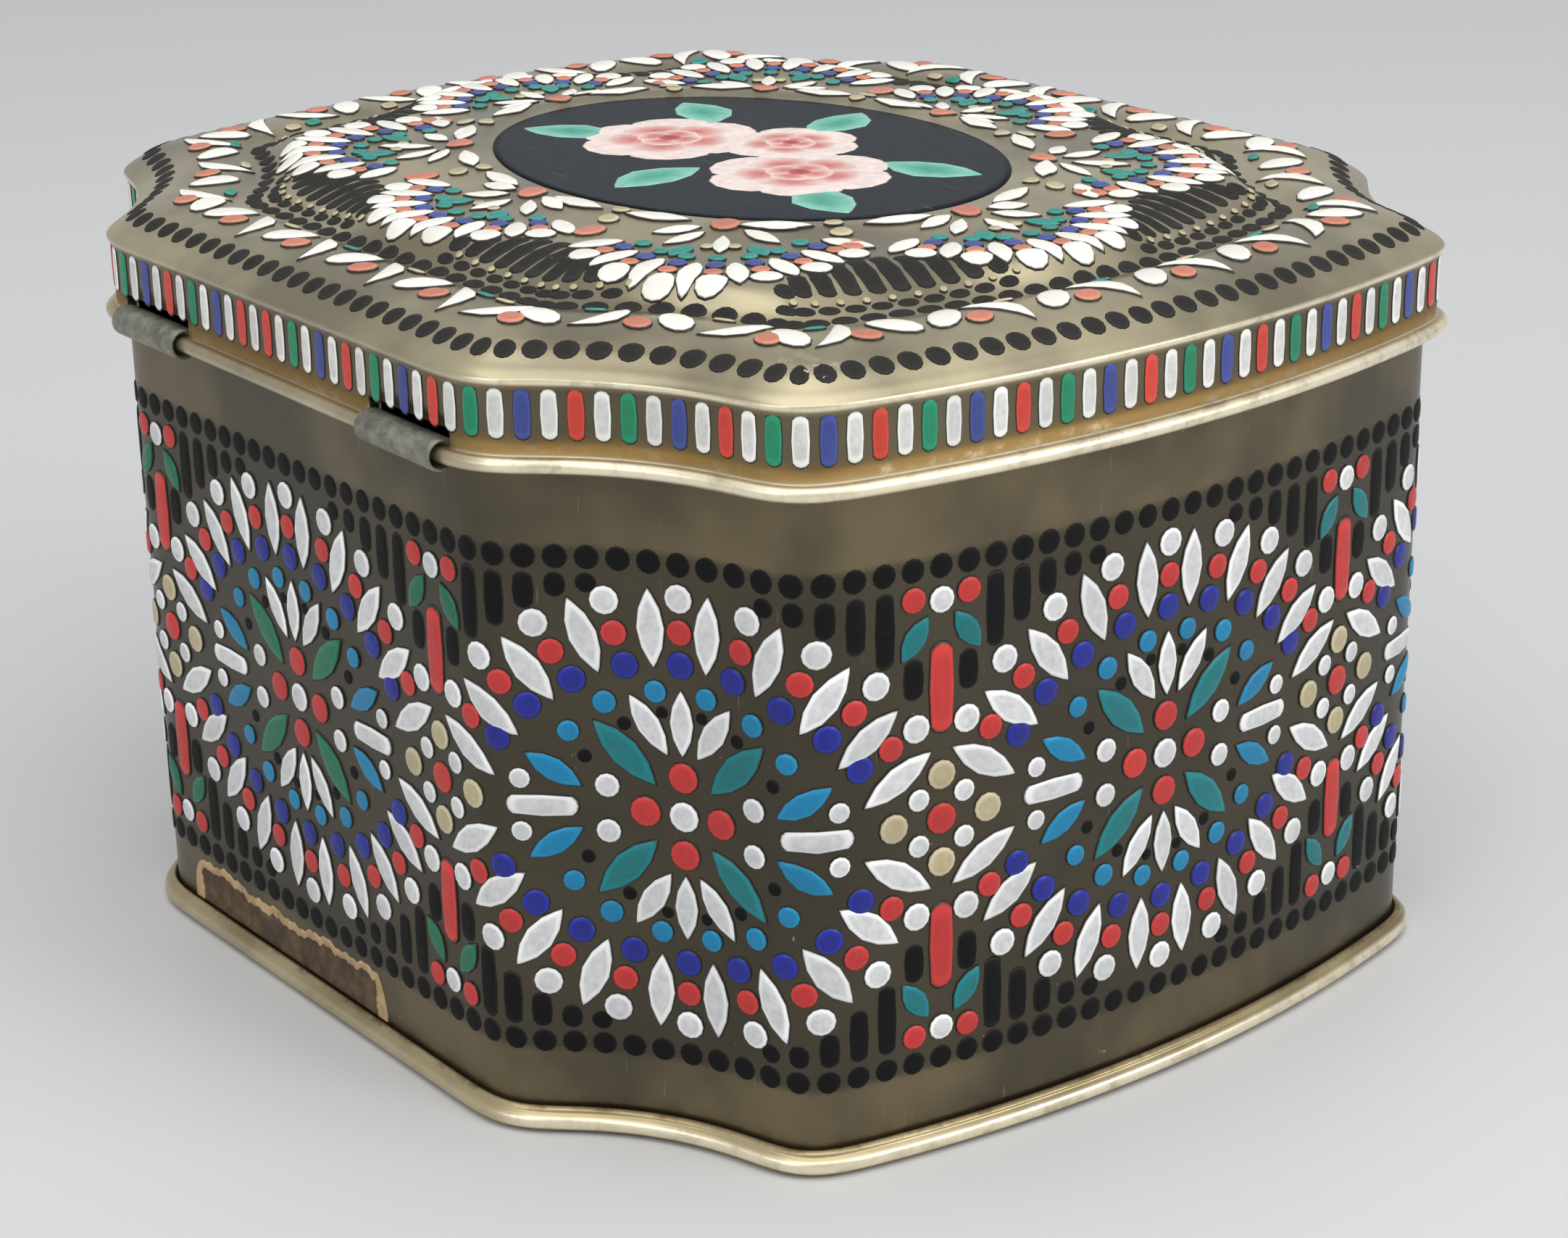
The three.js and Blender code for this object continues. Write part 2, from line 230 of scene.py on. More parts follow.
# Lumps of the lacquer in millimetres, how softly print and the bright bands of wear and painted highlight
# end, where the duller hinge side begins, with fainter painted highlight
lacquerForm = {
    "blotch": 22, "grain": 0.5, "cloud": 3.2, "hair": 0.35, "hairStretch": 0.06, "chip": 1.6, "swell": 5.0,
    "printSoft": 0.6, "rubAndHighlightSoft": 0.2, "hingeSide": (59.0, 61.0), "metal": 0.82,
    "bump": 0.22, "bumpReach": 0.12,
}


# Aged lacquer on tinplate: blotches, a darker printed ground between two heights, a tinted band round one
# height, fine grain, hair scratches, small chips (more of them round one place) and edges made bright, wear
# and painted highlight, fainter on the hinge side; "inner" is 1 on the unprinted inside
def lacquer(name, look):
    form = lacquerForm
    material, start, places, shader = newMaterial(name)
    y = start.node("ShaderNodeSeparateXYZ", {}, {"Vector": places}, 1) * (1 / mm)
    z = start.node("ShaderNodeSeparateXYZ", {}, {"Vector": places}, 2) * (1 / mm)
    blotch = noise(start, places, form["blotch"]).step(0.35, 0.68)
    grain = noise(start, places, form["grain"], 2.0)
    cloud = noise(start, places, form["cloud"], 5.0, 0.7)
    upright = {"Vector": places, "Scale": (1.0, 1.0, form["hairStretch"])}
    hair = noise(start, start.node("ShaderNodeMapping", {}, upright), form["hair"], 2.0).step(0.70, 0.78)
    # a band round one height, tinted where clouds allow: brown at the wall's foot, dark at the seam's top,
    # warm amber just above the lid's bead
    near = 1.0 - start.maths("ABSOLUTE", z - look["bandAt"]).step(0.0, look["bandReach"])
    banded = cloud.step(*look["bandCover"]) * near
    chipped = nearPlace(start, places, look["chipsAt"], look["chipsReach"])
    chip = (noise(start, places, form["chip"], 4.0, 0.7) + chipped * 0.36).step(0.71, 0.74)
    ground = heightBand(z, *look["printed"], form["printSoft"])
    inner = mark(start, "inner")
    # painted highlight: these bands are painted bright where light catches the lid's bead, the ridge over
    # the skirt and the seam's roll, on top of real wear; fainter on the hinge side
    rubbedAndHighlit = 0.0
    for low, high in look["wearAndPaintedLight"]:
        rubbedAndHighlit = rubbedAndHighlit + heightBand(z, low, high, form["rubAndHighlightSoft"])
    rubbedAndHighlit = rubbedAndHighlit * (0.45 + cloud.step(0.3, 0.55) * 0.55) * (1.0 - y.step(*form["hingeSide"]) * 0.75)
    plain = blotch.mix(colour(*look["dark"]), colour(*look["pale"]))
    inked = (ground * 0.8).mix(plain, colour(*look["ink"]))
    bandTinted = (banded * 0.85).mix(inked, colour(*look["bandTint"]))
    scuffed = (hair * 0.15 + chip * 0.6).mix(bandTinted, colour(*look["bare"]))
    bright = rubbedAndHighlit.mix(scuffed, colour(*look["rubbedAndHighlit"]))
    lining = cloud.step(0.3, 0.7).mix(colour(*look["lining"]), shaded(look["lining"], 1.25))
    rough = look["rough"] + blotch * 0.06 + banded * 0.25 + grain * 0.08 + inner * 0.12
    relief = noise(start, places, form["swell"]) * 0.7 + grain * 0.3 - chip * 0.3
    shader.inputs["Metallic"].default_value = form["metal"]
    links = {"Base Color": inner.mix(bright, lining), "Roughness": rough}
    links["Normal"] = bump(start, relief, form["bump"], form["bumpReach"])
    connect(start, shader, links)
    return material


# Lumps of the enamel, colours of the dark line round a bead's foot (painted shade, partly the print's
# edge) and of bared metal, reach of the chips round one place
enamelForm = {
    "mottle": 0.9, "chip": 1.3, "line": (0.03, 0.026, 0.02), "bared": (0.62, 0.58, 0.47), "chipsReach": 4.5,
    "coatRough": 0.2, "bump": 0.12, "bumpReach": 0.1,
}
nowhere = (0, 0, 200)  # a place far over the tin


# Printed enamel on an embossed bead. "rim" is 0 at the crown and 1 at the foot, "tone" differs bead by
# bead: a greyer crown and a bright shoulder, painted shade and painted highlight of the emboss, partly
# wear; a thin dark line at the foot, painted shade round the bead, partly the print's edge
def enamel(name, shoulder, crown, gloss, spots=0.35, coat=0.1, chipsAt=nowhere):
    form = enamelForm
    material, start, places, shader = newMaterial(name)
    rim, tone = mark(start, "rim"), mark(start, "tone")
    mottle = noise(start, places, form["mottle"], 4.0, 0.65)
    # painted highlight and shade: the shoulder is painted bright and the crown grey for the light on the
    # emboss, on top of some wear
    wearAndPaintedLight = (1.0 - rim.step(0.58, 0.80)) * (0.6 + mottle.step(0.3, 0.7) * 0.4)
    body = wearAndPaintedLight.mix(colour(*shoulder), colour(*crown))
    dusk = (tone * 0.30).mix(body, shaded(crown, 0.55))
    fleck = mottle.step(0.64, 0.74) * spots
    flecked = fleck.mix(dusk, shaded(crown, 0.45, 0.12))
    # painted shade: a thin dark line round the foot of the bead, in the crease where shade falls, partly
    # the print's edge
    footShaded = rim.step(0.87, 0.95).mix(flecked, colour(*form["line"]))
    chipped = nearPlace(start, places, chipsAt, form["chipsReach"]) * 0.36
    chip = (noise(start, places, form["chip"], 4.0, 0.7) + chipped).step(0.74, 0.77)
    shader.inputs["Coat Weight"].default_value = coat
    shader.inputs["Specular IOR Level"].default_value = 0.1 + 2 * coat
    shader.inputs["Coat Roughness"].default_value = form["coatRough"]
    links = {"Base Color": chip.mix(footShaded, colour(*form["bared"])), "Roughness": gloss + mottle * 0.2}
    links["Normal"] = bump(start, mottle, form["bump"], form["bumpReach"])
    connect(start, shader, links)
    return material


# Paint of the flower panel: the mesh's own colours, a little uneven, with fine scratches
def picturePaint(name):
    material, start, places, shader = newMaterial(name)
    paint = start.node("ShaderNodeAttribute", {"attribute_name": "paint"}, {}, "Color")
    stroke = noise(start, places, 1.3, 5.0, 0.6)
    aslant = {"Vector": places, "Rotation": (0, 0, 0.7), "Scale": (0.05, 1, 1)}
    hair = noise(start, start.node("ShaderNodeMapping", {}, aslant), 0.5, 2.0).step(0.70, 0.76)
    uneven = (stroke.step(0.3, 0.75) * 0.22).mix(paint, colour(0.03, 0.035, 0.04))
    scratched = (hair * 0.12).mix(uneven, colour(0.45, 0.45, 0.42))
    shader.inputs["Specular IOR Level"].default_value = 0.08
    links = {"Base Color": scratched, "Roughness": 0.3 + stroke * 0.2}
    links["Normal"] = bump(start, stroke, 0.1, 0.1)
    connect(start, shader, links)
    return material


# Dull unprinted tinplate, tarnished grey-green, with dark specks
def tarnish(name):
    material, start, places, shader = newMaterial(name)
    cloud = noise(start, places, 1.8, 5.0, 0.65)
    speck = noise(start, places, 0.35, 2.0).step(0.62, 0.7)
    base = cloud.step(0.3, 0.7).mix(colour(0.16, 0.16, 0.125), colour(0.34, 0.335, 0.28))
    specked = (speck * 0.35).mix(base, colour(0.05, 0.035, 0.02))
    shader.inputs["Metallic"].default_value = 0.7
    links = {"Base Color": specked, "Roughness": 0.38 + cloud * 0.3}
    links["Normal"] = bump(start, cloud + speck * 0.2, 0.3, 0.15)
    connect(start, shader, links)
    return material


# Torn paper label: pale tan where the edge is torn, brown dried glue within; "edge" is 1 on the torn edge
def tornLabel(name):
    material, start, places, shader = newMaterial(name)
    edge = mark(start, "edge")
    cloud = noise(start, places, 2.6, 6.0, 0.7)
    glue = cloud.step(0.35, 0.7).mix(colour(0.045, 0.028, 0.014), colour(0.14, 0.085, 0.04))
    paper = cloud.step(0.3, 0.65).mix(colour(0.30, 0.19, 0.085), colour(0.50, 0.36, 0.19))
    torn = (edge + (cloud - 0.5) * 0.9).step(0.30, 0.42)
    links = {"Base Color": torn.mix(glue, paper), "Roughness": 0.62 + cloud * 0.3}
    links["Normal"] = bump(start, cloud, 0.5, 0.2)
    connect(start, shader, links)
    return material


chipsAt = (-58.4, 38.6, 79.8)  # knocks on the lid's shoulder beside the near corner
# Painted light in the golds: the wall's is painted dark for reflections of dark surroundings on its upright
# sides, and the lid's is a paler copy of the same gold, painted lighter for the glare on its top
wallLook = {
    "pale": (0.175, 0.140, 0.080), "dark": (0.082, 0.070, 0.048), "ink": (0.054, 0.048, 0.035),
    "printed": (8.6, 61.8), "bandTint": (0.05, 0.03, 0.01), "bandAt": 1.0, "bandReach": 3.5,
    "bandCover": (0.42, 0.66), "wearAndPaintedLight": (), "rubbedAndHighlit": (0.86, 0.78, 0.58), "bare": (0.55, 0.50, 0.38),
    "chipsAt": nowhere, "chipsReach": 1.0, "rough": 0.26, "lining": (0.36, 0.35, 0.29),
}
lidLook = {
    **wallLook, "pale": (0.52, 0.455, 0.295), "dark": (0.28, 0.242, 0.160), "ink": (0.058, 0.045, 0.026),
    "printed": (71.9, 77.8), "bandTint": (0.27, 0.155, 0.035), "bandAt": 71.7, "bandReach": 1.9,
    "bandCover": (0.2, 0.5), "wearAndPaintedLight": ((69.2, 71.0), (77.95, 78.45)), "chipsAt": chipsAt, "chipsReach": 4.5,
    "rough": 0.25,
}
seamLook = {
    **wallLook, "pale": (0.50, 0.41, 0.235), "dark": (0.28, 0.215, 0.11), "bandTint": (0.10, 0.058, 0.02),
    "bandAt": 2.6, "bandReach": 0.6, "wearAndPaintedLight": ((0.5, 1.7),), "printed": (200, 201), "rough": 0.25,
}
wallGold = lacquer("wall_gold", wallLook)
lidGold = lacquer("lid_gold", lidLook)
seamGold = lacquer("seam_gold", seamLook)
bareTin = tarnish("bare_tin")
# Each with its shoulder's colour (painted highlight), its crown's colour (painted shade, partly wear) and
# roughness, then flecks, coat, chips where they differ
enamels = {
    "white": enamel("enamel_white", (0.93, 0.93, 0.91), (0.56, 0.565, 0.565), 0.30),
    "red": enamel("enamel_red", (0.62, 0.040, 0.034), (0.46, 0.028, 0.026), 0.30, 0.5),
    "blue": enamel("enamel_blue", (0.012, 0.025, 0.34), (0.008, 0.012, 0.20), 0.28),
    "turquoise": enamel("enamel_turquoise", (0.004, 0.25, 0.46), (0.004, 0.18, 0.36), 0.28),
    "teal": enamel("enamel_teal", (0.004, 0.22, 0.24), (0.004, 0.15, 0.16), 0.28),
    "green": enamel("enamel_green", (0.006, 0.19, 0.09), (0.005, 0.12, 0.06), 0.28),
    "black": enamel("enamel_black", (0.008, 0.008, 0.008), (0.006, 0.006, 0.006), 0.42, 0.1, 0.0),
    "cream": enamel("enamel_cream", (0.60, 0.52, 0.33), (0.42, 0.36, 0.21), 0.32),
    "salmon": enamel("enamel_salmon", (0.66, 0.25, 0.15), (0.52, 0.17, 0.11), 0.32, 0.5),
}
lidEnamels = {  # the lid's print has yellowed and faded, and its colours are lit copies of the wall's, painted lighter for the light from above
    **enamels,
    "white": enamel("lid_white", (0.96, 0.93, 0.83), (0.86, 0.835, 0.74), 0.26, 0.15),
    "red": enamel("lid_red", (0.74, 0.075, 0.045), (0.58, 0.045, 0.030), 0.30, 0.5),
    "green": enamel("lid_green", (0.014, 0.30, 0.15), (0.010, 0.21, 0.10), 0.28),
    "black": enamel("lid_black", (0.034, 0.033, 0.030), (0.024, 0.023, 0.021), 0.5, 0.3, 0.0, chipsAt),
    "blue": enamel("lid_blue", (0.06, 0.09, 0.36), (0.04, 0.06, 0.24), 0.30),
    "teal": enamel("lid_teal", (0.03, 0.33, 0.27), (0.02, 0.22, 0.18), 0.30),
}
# The skirt's white keeps a greyer crown than the top's: a shaded copy for an upright side, like the wall's
# whites
skirtEnamels = {
    **lidEnamels,
    "white": enamel("skirt_white", (0.95, 0.94, 0.88), (0.60, 0.60, 0.57), 0.28),
}
print("materials made")

# Hinge: the same two tongues and slots as the frame's. "across" are shares of the width, "thin" the
# thickness there
hinge = {
    "width": 13.0, "spread": 24.5, "shift": -0.5, "y": 61.0, "z": 70.2, "beadRadius": 0.8,
    "room": 0.45, "sheet": 0.4, "notchReach": 6.8, "slotReach": 6.9, "slotTop": 72.9,
    "curl": (100, -115), "curlSteps": 26, "leadSteps": 6, "root": -0.6, "overlap": 0.02,
    "across": (-0.5, -0.492, -0.46, -0.2, 0.2, 0.46, 0.492, 0.5),
    "thin": (0.55, 0.9, 1, 1, 1, 1, 0.9, 0.55), "dent": 0.05, "dentWaves": 1.1,
}
tongueMiddles = [hinge["shift"] + side * hinge["spread"] for side in (-1, 1)]


# Columns round the plan: even ways round, with the nearest moved onto the ends of each cut on the flat
# back
def columnsWithCuts(count, reach):
    s = np.linspace(0, wayRound, count, endpoint=False)
    inside = np.zeros(count, dtype=bool)
    for middle in tongueMiddles:
        ends = np.sort(np.mod([-middle - reach, -middle + reach], wayRound))
        first, last = (int(np.argmin(np.abs(s - end))) for end in ends)
        s[[first, last]] = ends
        inside |= (np.arange(count) >= first) & (np.arange(count) < last)
    return s, inside


# First columns of the cuts, and the columns just past them
def cutEnds(inside):
    c = np.flatnonzero(inside)
    starts = c[np.concatenate([[True], np.diff(c) > 1])]
    ends = c[np.concatenate([np.diff(c) > 1, [True]])] + 1
    return starts, ends


# Opens notches in a closed section carried round: leaves out the cells between two rows inside the cuts,
# then closes each notch with a strip from row to row and one face at each end
def notchFaces(quads, inside, low, high):
    keep = np.ones(quads.shape[:2], dtype=bool)
    keep[low:high, inside] = False
    columns = quads.shape[1]
    c = np.flatnonzero(inside)
    under, over = low * columns + c, high * columns + c
    strip = np.stack([under, under + 1, over + 1, over], -1)
    rows = np.arange(low, high + 1) * columns
    starts, ends = cutEnds(inside)
    faces = quads[keep].tolist() + strip.tolist()
    faces += [(rows + e).tolist() for e in ends]
    faces += [(rows + b)[::-1].tolist() for b in starts]
    return faces


# Fans that close the first and the last row of a grid with the two middle points that follow it
def poleFans(rows, columns):
    around = np.arange(columns)
    after = (around + 1) % columns
    last = (rows - 1) * columns
    low = np.stack([after, around, np.full(columns, rows * columns)], -1)
    high = np.stack([last + around, last + after, np.full(columns, rows * columns + 1)], -1)
    return low.tolist() + high.tolist()


# The wall: a section of offset and height carried round the plan, up the outside, over the hem, down
# inside. It buckles by a product of sines, two round the plan and one up the wall
wall = {
    "foot": 1.0, "sheet": 0.4, "columns": 520, "outsideRows": 36, "insideRows": 12,
    "upper": (72.2, 74.4, 76.6, 78.1),
    "hem": ((-0.12, 78.4), (-0.75, 78.4), (-0.9, 78.15), (-0.9, 76.8), (-0.4, 76.4)),
    "buckle": 0.05, "buckleRound": (11, 3), "buckleShift": 1.0, "buckleUp": 9.0, "buckleHeight": 78,
}
heights = np.concatenate([np.linspace(wall["foot"], hinge["z"], wall["outsideRows"]), wall["upper"]])
outside = [(0, z) for z in heights]
inside = [(-wall["sheet"], z) for z in np.linspace(hinge["z"], wall["foot"], wall["insideRows"])]
section = np.array([*outside, *wall["hem"], *inside])
s, inCut = columnsWithCuts(wall["columns"], hinge["notchReach"])
turn = s / wayRound * 2 * np.pi
waves = wall["buckleRound"]
quiver = np.sin(turn * waves[0]) * np.sin(turn * waves[1] + wall["buckleShift"])
wave = wall["buckle"] * quiver[None, :] * np.sin(section[:, 1:] / wall["buckleHeight"] * wall["buckleUp"])
x, y = planAt(s[None, :], section[:, :1] + wave)
points = np.stack([x, y, np.broadcast_to(section[:, 1:], x.shape)], -1)
quads = gridFaces(len(section), wall["columns"], closedRows=True)
hemEnd = len(outside) + len(wall["hem"])
faces = notchFaces(quads, inCut, wall["outsideRows"] - 1, hemEnd)
inner = np.repeat(np.arange(len(section)) >= hemEnd - 1, wall["columns"])
used = np.unique(np.concatenate(faces))
fresh = np.zeros(len(inner), dtype=int)
fresh[used] = np.arange(len(used))
faces = [fresh[face].tolist() for face in faces]
points = points.reshape(-1, 3)[used]
marks = {"inner": inner[used]}
addPiece("wall_skin", points, faces, "box", wallGold, marks, node="body_wall")
print("wall done")


# A tongue: inner line from the wall's outside over the bead and round it, outer line a sheet beyond it,
# carried across the width with its edges drawn in a little; the lead up to the curl is a parabola through
# three points
def tongueMesh(middle):
    inner = hinge["beadRadius"] + hinge["room"]
    turn = np.radians(np.linspace(*hinge["curl"], hinge["curlSteps"]))
    root = plan["faceY"] - hinge["y"]
    rise = np.linspace(0, 1, hinge["leadSteps"] + 1)[:-1, None]
    feet = (root - hinge["overlap"], root - hinge["sheet"] + hinge["overlap"])
    lines = []
    for radius, foot in zip((inner, inner + hinge["sheet"]), feet):
        a, b = np.array([foot, hinge["root"]]), np.array([foot, radius])
        circle = radius * np.stack([np.cos(turn), np.sin(turn)], -1)
        lead = (1 - rise) ** 2 * a + 2 * rise * (1 - rise) * b + rise ** 2 * circle[0]
        lines.append(np.concatenate([lead, circle]))
    loop = np.concatenate([lines[0], lines[1][::-1]])
    half = lines[0] * 0.5 + lines[1] * 0.5
    core = np.concatenate([half, half[::-1]])
    across = np.array(hinge["across"]) * hinge["width"]
    thin = np.array(hinge["thin"]) + hinge["dent"] * np.sin(across * hinge["dentWaves"] + middle)
    yz = core[:, None, :] + (loop - core)[:, None, :] * thin[None, :, None]
    xs = np.broadcast_to(middle + across, yz.shape[:2])
    points = np.stack([xs, hinge["y"] + yz[..., 0], hinge["z"] + yz[..., 1]], -1)
    n, m = points.shape[:2]
    r = np.arange(n)[:, None] * m
    above = np.roll(r, -1, axis=0)
    c = np.arange(m - 1)[None, :]
    quads = np.stack([r + c, r + c + 1, above + c + 1, above + c], -1).reshape(-1, 4)
    k = np.arange(n // 2 - 1)
    cap = np.stack([k * m, (k + 1) * m, (n - 2 - k) * m, (n - 1 - k) * m], -1)
    return points.reshape(-1, 3), np.concatenate([quads, cap, cap[:, ::-1] + m - 1])[:, ::-1]


sets = [tongueMesh(middle) for middle in tongueMiddles]
points = np.concatenate([p for p, f in sets])
faces = np.concatenate([sets[0][1], sets[1][1] + len(sets[0][0])])
addPiece("hinge_tongues", points, faces.tolist(), "box", bareTin)
print("hinge done")

# The base: underside panel, standing ring, rolled seam, groove of the wall, floor of the box, as lists of
# offset and height. Further in than "planReach" the plan shrinks instead of being offset, by a share of
# "middle"
base = {
    "columns": 420, "panel": 2.0, "sheet": 0.4, "seamSteps": 4, "planReach": 3, "middle": 60,
    "under": ((-20, 2.0), (-6, 2.0), (-2.2, 1.98), (-1.4, 1.8)),
    "seam": ((-1.1, 0.15), (-0.8, 0), (0.7, 0), (1.45, 0.32), (1.75, 0.95), (1.62, 1.55), (1.2, 1.9),
             (1.05, 2.05), (0.95, 2.3), (0.55, 2.5), (0.3, 2.42)),
    "groove": ((0.3, 0.7), (-0.7, 0.7), (-0.7, 2.2), (-1.0, 2.4), (-6, 2.4), (-20, 2.4)),
}
section = np.concatenate([base["under"], smoothThrough(base["seam"], base["seamSteps"]), base["groove"]])
s = np.linspace(0, wayRound, base["columns"], endpoint=False)
x, y = planAt(s[None, :], np.maximum(section[:, :1], -base["planReach"]))
shrink = 1 - np.maximum(-section[:, :1] - base["planReach"], 0) / base["middle"]
points = np.stack([x * shrink, y * shrink, np.broadcast_to(section[:, 1:], x.shape)], -1).reshape(-1, 3)
poles = [[0, 0, base["panel"]], [0, 0, base["panel"] + base["sheet"]]]
quads = gridFaces(len(section), base["columns"]).reshape(-1, 4)
faces = quads.tolist() + poleFans(len(section), base["columns"])
inner = np.arange(len(section)) >= len(section) - len(base["groove"])
marks = {"inner": np.append(np.repeat(inner, base["columns"]), [False, True])}
points = np.concatenate([points, poles])
addPiece("base_pan", points, faces, "box", seamGold, marks, node="base_plate")
print("base done")

# The lid: bead, skirt, ridge and shoulder follow the plan; border, gutter and lobed cushion run in to the
# oval. Insets count from the plan inwards; "ridgeRows" is where the shoulder's line turns in from its
# ridge
lid = {
    "columns": 600, "sheet": 0.4, "skirtIn": 0.8, "skirtOut": 1.2, "rowInset": 3.0, "cushionInset": 11.6,
    "gutter": 81.1, "cushion": 83.6, "lobeSlope": 3.8, "valleySlope": 9.5, "ovalInset": 34.0,
    "ovalX": 33.3, "ovalY": 25.6, "oval": 83.85, "rim": 84.2, "rimFrom": 26, "rimWidth": 5,
    "dropFrom": 32.4, "dropWidth": 1.0, "beadOut": 1.6, "beadRadius": 0.8, "curl": (180, 470, 24),
    "innerTop": ((0.55, 79.2), (0.8, 78.2)), "innerFoot": 71.0, "outerFoot": 70.95, "outerTop": 75.0,
    "shoulderSteps": 4, "borderSteps": 5, "ridgeRows": 16, "cushionRows": (11.5, 24, 30),
    "rimRows": (26, 28, 30, 31.4, 32.4, 32.9, 33.4, 34),
    "lowRows": (34, 30, 26, 24, 22, 20.5, 19, 17.5, 16, 14.5, 13, 11.5, 9.2, 7.0, 5.0, 3.0),
}
shoulderKeys = [(1.2, 76.9), (1.26, 77.45), (1.58, 78.0), (1.68, 78.3), (1.52, 78.62), (0.9, 79.1)]
shoulderKeys += [(0.0, 79.62), (-1.5, 80.5), (-3.0, 81.15)]
shoulder = smoothThrough(shoulderKeys, lid["shoulderSteps"])
borderKeys = [(3.0, 81.15), (4.2, 81.42), (5.4, 81.62), (7.4, 81.76), (9.2, 81.64), (10.6, 81.24)]
borderKeys += [(11.5, 81.1)]
border = smoothThrough(borderKeys, lid["borderSteps"])
startX, startY = planAt(wayAlong, -lid["rowInset"])
startTurn = np.unwrap(np.arctan2(startY / lid["ovalY"], startX / lid["ovalX"]))
startReach = np.hypot(startX / lid["ovalX"], startY / lid["ovalY"])


# Height of the lid's top at an inset and a way round: border line, then a cushion whose side is a smooth
# step, steep at the eight lobes and long between them, then the rim and the oval
def topHeight(inset, s):
    lobe = 0.5 + 0.5 * np.cos(2 * np.pi * rosettes * s / wayRound)
    width = lid["valleySlope"] + (lid["lobeSlope"] - lid["valleySlope"]) * lobe
    t = np.clip((inset - lid["cushionInset"]) / width, 0, 1)
    low = np.interp(inset, border[:, 0], border[:, 1])
    z = low + (lid["cushion"] - lid["gutter"]) * t * t * (3 - 2 * t)
    rim = (lid["rim"] - lid["cushion"]) * np.clip((inset - lid["rimFrom"]) / lid["rimWidth"], 0, 1) ** 2
    drop = (lid["rim"] - lid["oval"]) * np.clip((inset - lid["dropFrom"]) / lid["dropWidth"], 0, 1)
    return z + rim - drop


# A place on the lid's top: the way in from the shoulder's inner edge runs straight to the oval's middle,
# in coordinates that make the oval a circle
def topAt(s, inset):
    s = np.mod(s, wayRound)
    turn, reach = np.interp(s, wayAlong, startTurn), np.interp(s, wayAlong, startReach)
    u = (inset - lid["rowInset"]) / (lid["ovalInset"] - lid["rowInset"])
    reach = reach + (1 - reach) * u
    return lid["ovalX"] * reach * np.cos(turn), lid["ovalY"] * reach * np.sin(turn)


# The reverse: inset and way round of a place seen from above
def topInset(x, y):
    turn = np.arctan2(y / lid["ovalY"], x / lid["ovalX"])
    turn = startTurn[0] + np.mod(turn - startTurn[0], 2 * np.pi)
    s = np.interp(turn, startTurn, wayAlong)
    edge = np.interp(turn, startTurn, startReach)
    u = (edge - np.hypot(x / lid["ovalX"], y / lid["ovalY"])) / (edge - 1)
    return lid["rowInset"] + u * (lid["ovalInset"] - lid["rowInset"]), s


s, inCut = columnsWithCuts(lid["columns"], hinge["slotReach"])
curl = np.radians(np.arange(*lid["curl"]))
curlX = lid["beadOut"] + lid["beadRadius"] * np.cos(curl)
curlZ = hinge["z"] + lid["beadRadius"] * np.sin(curl)
skirtInside = [*lid["innerTop"], (lid["skirtIn"], hinge["slotTop"]), (lid["skirtIn"], lid["innerFoot"])]
skirtOutside = [(lid["skirtOut"], z) for z in (lid["outerFoot"], hinge["slotTop"], lid["outerTop"])]
ringSection = np.concatenate([skirtInside, np.stack([curlX, curlZ], -1), skirtOutside, shoulder])
ringX, ringY = planAt(s[None, :], ringSection[:, :1])
ringZ = np.broadcast_to(ringSection[:, 1:], ringX.shape)
insets = np.concatenate([border[1:, 0], np.linspace(*lid["cushionRows"])[1:], lid["rimRows"]])[:, None]
topX, topY = topAt(s[None, :], insets)
topZ = topHeight(insets, s[None, :])
lowInsets = np.array(lid["lowRows"])[:, None]
lowX, lowY = topAt(s[None, :], lowInsets)
lowZ = topHeight(lowInsets, s[None, :]) - lid["sheet"]
sheets = ((lowX, ringX, topX), (lowY, ringY, topY), (lowZ, ringZ, topZ))
points = np.stack([np.concatenate(parts) for parts in sheets], -1)
rows, n = points.shape[:2]
innerRow = len(lowInsets) + len(lid["innerTop"])
outerRow = len(lowInsets) + len(skirtInside) + len(curl)
quads = gridFaces(rows, n)
keep = np.ones(quads.shape[:2], dtype=bool)
keep[innerRow, inCut] = False
keep[outerRow, inCut] = False
c = np.flatnonzero(inCut)
edges = ((outerRow, innerRow + 1), (innerRow, outerRow + 1))
lips = [np.stack([a * n + c + 1, b * n + c + 1, b * n + c, a * n + c], -1) for a, b in edges]
starts, ends = cutEnds(inCut)
corners = np.array([innerRow, innerRow + 1, outerRow, outerRow + 1]) * n
sides = [corners[::-1] + b for b in starts] + [corners + e for e in ends]
faces = quads[keep].tolist() + np.concatenate(lips).tolist()
faces += [side.tolist() for side in sides] + poleFans(rows, n)
inner = np.repeat(np.arange(rows) < len(lowInsets) + len(skirtInside), n)
poles = [[0, 0, lid["oval"] - lid["sheet"]], [0, 0, lid["oval"]]]
points = np.concatenate([points.reshape(-1, 3), poles])
marks = {"inner": np.append(inner, [True, False])}
addPiece("lid_skin", points, faces, "lid", lidGold, marks, node="lid")
print("lid done")

# Beads: each is (colour, kind, u, v, half length, half width, turn, bend) on a surface with coordinates u
# and v. "rings" are shares of the outline from foot to crown, "rise" the share of the height at each
beadForm = {
    "around": 12, "rings": (1.0, 0.93, 0.74, 0.4), "rise": (-0.2, 0.5, 0.9, 0.99), "blackRise": 0.45,
    "lensPoint": 1.0, "leafPoint": 0.4,
}


